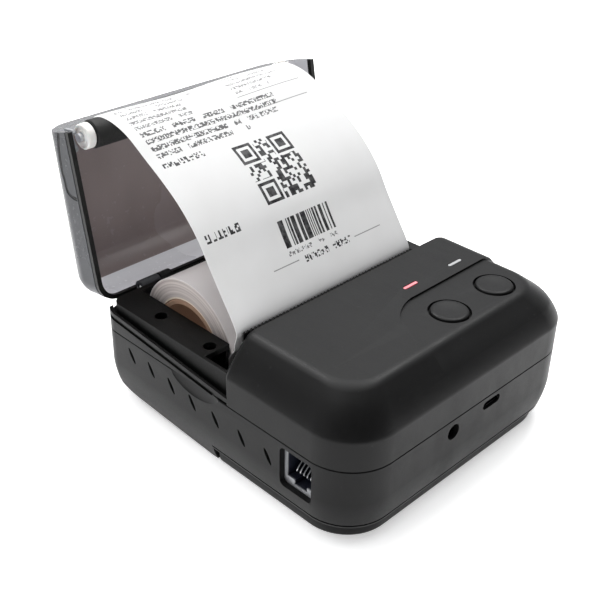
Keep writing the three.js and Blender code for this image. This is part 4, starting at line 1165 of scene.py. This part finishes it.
# ---- paper
def make_roll():
    """The wound paper, whose turns stand a little in or out at its ends, and its cardboard core."""
    steps = 46
    ends = []
    wander = random.Random(11)
    depth = 0.0
    for i in range(steps + 1):
        radius = CORE_OUTER + 0.3 + (ROLL_RADIUS - CORE_OUTER - 0.3) * i / steps
        depth = 0.72 * depth + wander.uniform(-0.05, 0.07)
        ends.append((radius, min(max(depth, 0.0), 0.4)))
    left, right = ROLL_LEFT_X, ROLL_RIGHT_X
    profile = [(radius, left + inset) for radius, inset in ends]
    profile += [(radius, right - inset) for radius, inset in reversed(ends)]
    roll = lathe("paper_roll_fine", "x", (ROLL_Y, ROLL_Z), profile, 128)
    shade(roll, 60)
    finish(roll, "paper", "roll", "paper_roll")
    roll.data.materials[0] = ROLL_PAPER
    profile = [(CORE_INNER, left + 0.1), (CORE_OUTER - 0.35, left), (CORE_OUTER, left + 0.3),
               (CORE_OUTER, right - 0.3), (CORE_OUTER - 0.35, right), (CORE_INNER, right - 0.1)]
    core = lathe("roll_core_fine", "x", (ROLL_Y, ROLL_Z), profile, 96)
    finish(core, "cardboard", "roll", "roll_core")


STRIP_PATH = [(6.9, 27.5), (6.2, 31.5), (3.5, 36.5), (-1.0, 42), (-3.1, 47), (-3.1, 51.2), (2.6, 59.8),
              (7.7, 67.2), (13.0, 75.4), (19.6, 82.4), (27.4, 88.2), (37.0, 93.8), (45.0, 98.3),
              (52.0, 100.4), (58.0, 100.6), (62.4, 99.4)]
STRIP_COLUMNS, STRIP_THICKNESS, TORN_DEPTH, WAVE = 40, 0.16, 0.35, 0.3


def strip_rows():
    """Points up the strip with their height above the tear edge along the paper."""
    path = smooth_path(STRIP_PATH, 8)
    along = [0.0]
    for a, b in zip(path, path[1:]):
        along.append(along[-1] + math.dist(a, b))
    tear = next(s for s, (y, z) in zip(along, path) if z >= TOP_Z)
    return [(y, z, s - tear) for (y, z), s in zip(path, along)]


def strip_points(rows):
    """The points of both faces, and where each lies on the flat paper."""
    points, where = [], []
    for skin in (0.0, STRIP_THICKNESS):
        for r, (y, z, up) in enumerate(rows):
            before, after = rows[max(r - 1, 0)], rows[min(r + 1, len(rows) - 1)]
            dy, dz = after[0] - before[0], after[1] - before[1]
            length = math.hypot(dy, dz)
            slide = STRIP_SLIDE * min(max((45 - z) / 14, 0.0), 1.0)
            for c in range(STRIP_COLUMNS + 1):
                share = c / STRIP_COLUMNS
                offset = WAVE + WAVE * math.sin(share * 9 + up * 0.05) * min(max(up, 0) / 60, 1.0) + skin
                torn = TORN_DEPTH * abs((c * 2.5) % 1 - 0.5) if r == len(rows) - 1 else 0.0
                points.append((STRIP_LEFT_X + slide + PAPER_WIDTH * share,
                               y + (dz / length) * offset - dy / length * torn,
                               z - (dy / length) * offset - dz / length * torn))
                where.append((PAPER_WIDTH * share, up))
    return points, where


def strip_faces(rows):
    """The printed face, then the plain face and the edges all round."""
    step = STRIP_COLUMNS + 1
    back = rows * step
    top = (rows - 1) * step
    corners = [r * step + c for r in range(rows - 1) for c in range(STRIP_COLUMNS)]
    front = [(a, a + 1, a + step + 1, a + step) for a in corners]
    plain = [tuple(back + i for i in reversed(face)) for face in front]
    border = list(range(step)) + [r * step + STRIP_COLUMNS for r in range(1, rows)]
    border += [top + c for c in reversed(range(STRIP_COLUMNS))]
    border += [r * step for r in reversed(range(1, rows - 1))]
    plain += [(b, a, a + back, b + back) for a, b in zip(border, border[1:] + border[:1])]
    return front, plain


def make_strip():
    """A strip one sheet thick: printed in front, plain behind, a little wavy at its torn end."""
    rows = strip_rows()
    points, where = strip_points(rows)
    front, plain = strip_faces(len(rows))
    strip = mesh_object("paper_strip_fine", points, front + plain)
    mesh = strip.data
    layer = mesh.uv_layers.new(name="print")
    for loop in mesh.loops:
        u, v = where[loop.vertex_index]
        layer.data[loop.index].uv = (u / UV_MM, v / UV_MM)
    mesh.materials.append(PRINTED)
    mesh.materials.append(MATERIALS["paper"])
    for face in mesh.polygons[len(front):]:
        face.material_index = 1
    tidy_mesh(strip, merge=False)
    shade(strip, 50)
    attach(strip, "housing")
    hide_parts("paper_strip")
    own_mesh(strip)


def make_tear_bar():
    """The serrated edge behind the deck that the paper is torn against."""
    start, pitch, count, foot, root, tip = -47, 1.5, 52, 47.2, 50.0, 50.55
    outline = [(start, foot)]
    for i in range(count):
        outline += [(start + i * pitch, root), (start + (i + 0.5) * pitch, tip)]
    outline += [(start + count * pitch, root), (start + count * pitch, foot)]
    bar = prism("tear_bar", outline, "y", DECK_REAR_Y + 0.15, DECK_REAR_Y + 0.75)
    finish(bar, "frame_black", "housing")


def make_serial_contacts():
    """Six sprung wires that lean across the jack's mouth from its roof to its floor."""
    y, z = SERIAL_Y, SERIAL_Z
    bar = box("serial_contacts_fine", (-43.3, y - 4.6, z + 3.4), (-42.5, y + 4.6, z + 4.9))
    side = smooth_path([(-43.0, z + 3.9), (-46.5, z + 1.2), (-50.3, z - 2.4), (-49.4, z - 3.7)], 5)
    for i in range(6):
        across = y - 3.6 + i * 1.44
        combine(bar, tube("contact", [(x, across, height) for x, height in side], 0.24), "UNION")
    shade(bar)
    finish(bar, "steel", "housing", "serial_contacts")


make_lid_shell()
make_serial_contacts()
make_platen()
make_left_bracket()
make_buttons()
make_roll()
make_strip()
make_tear_bar()


def make_floor():
    reach = 6000
    points = [(-reach, -reach, 0), (reach, -reach, 0), (reach, reach, 0), (-reach, reach, 0)]
    floor = mesh_object("floor", points, [(0, 1, 2, 3)])
    floor.data.materials.append(floor_material())


make_floor()
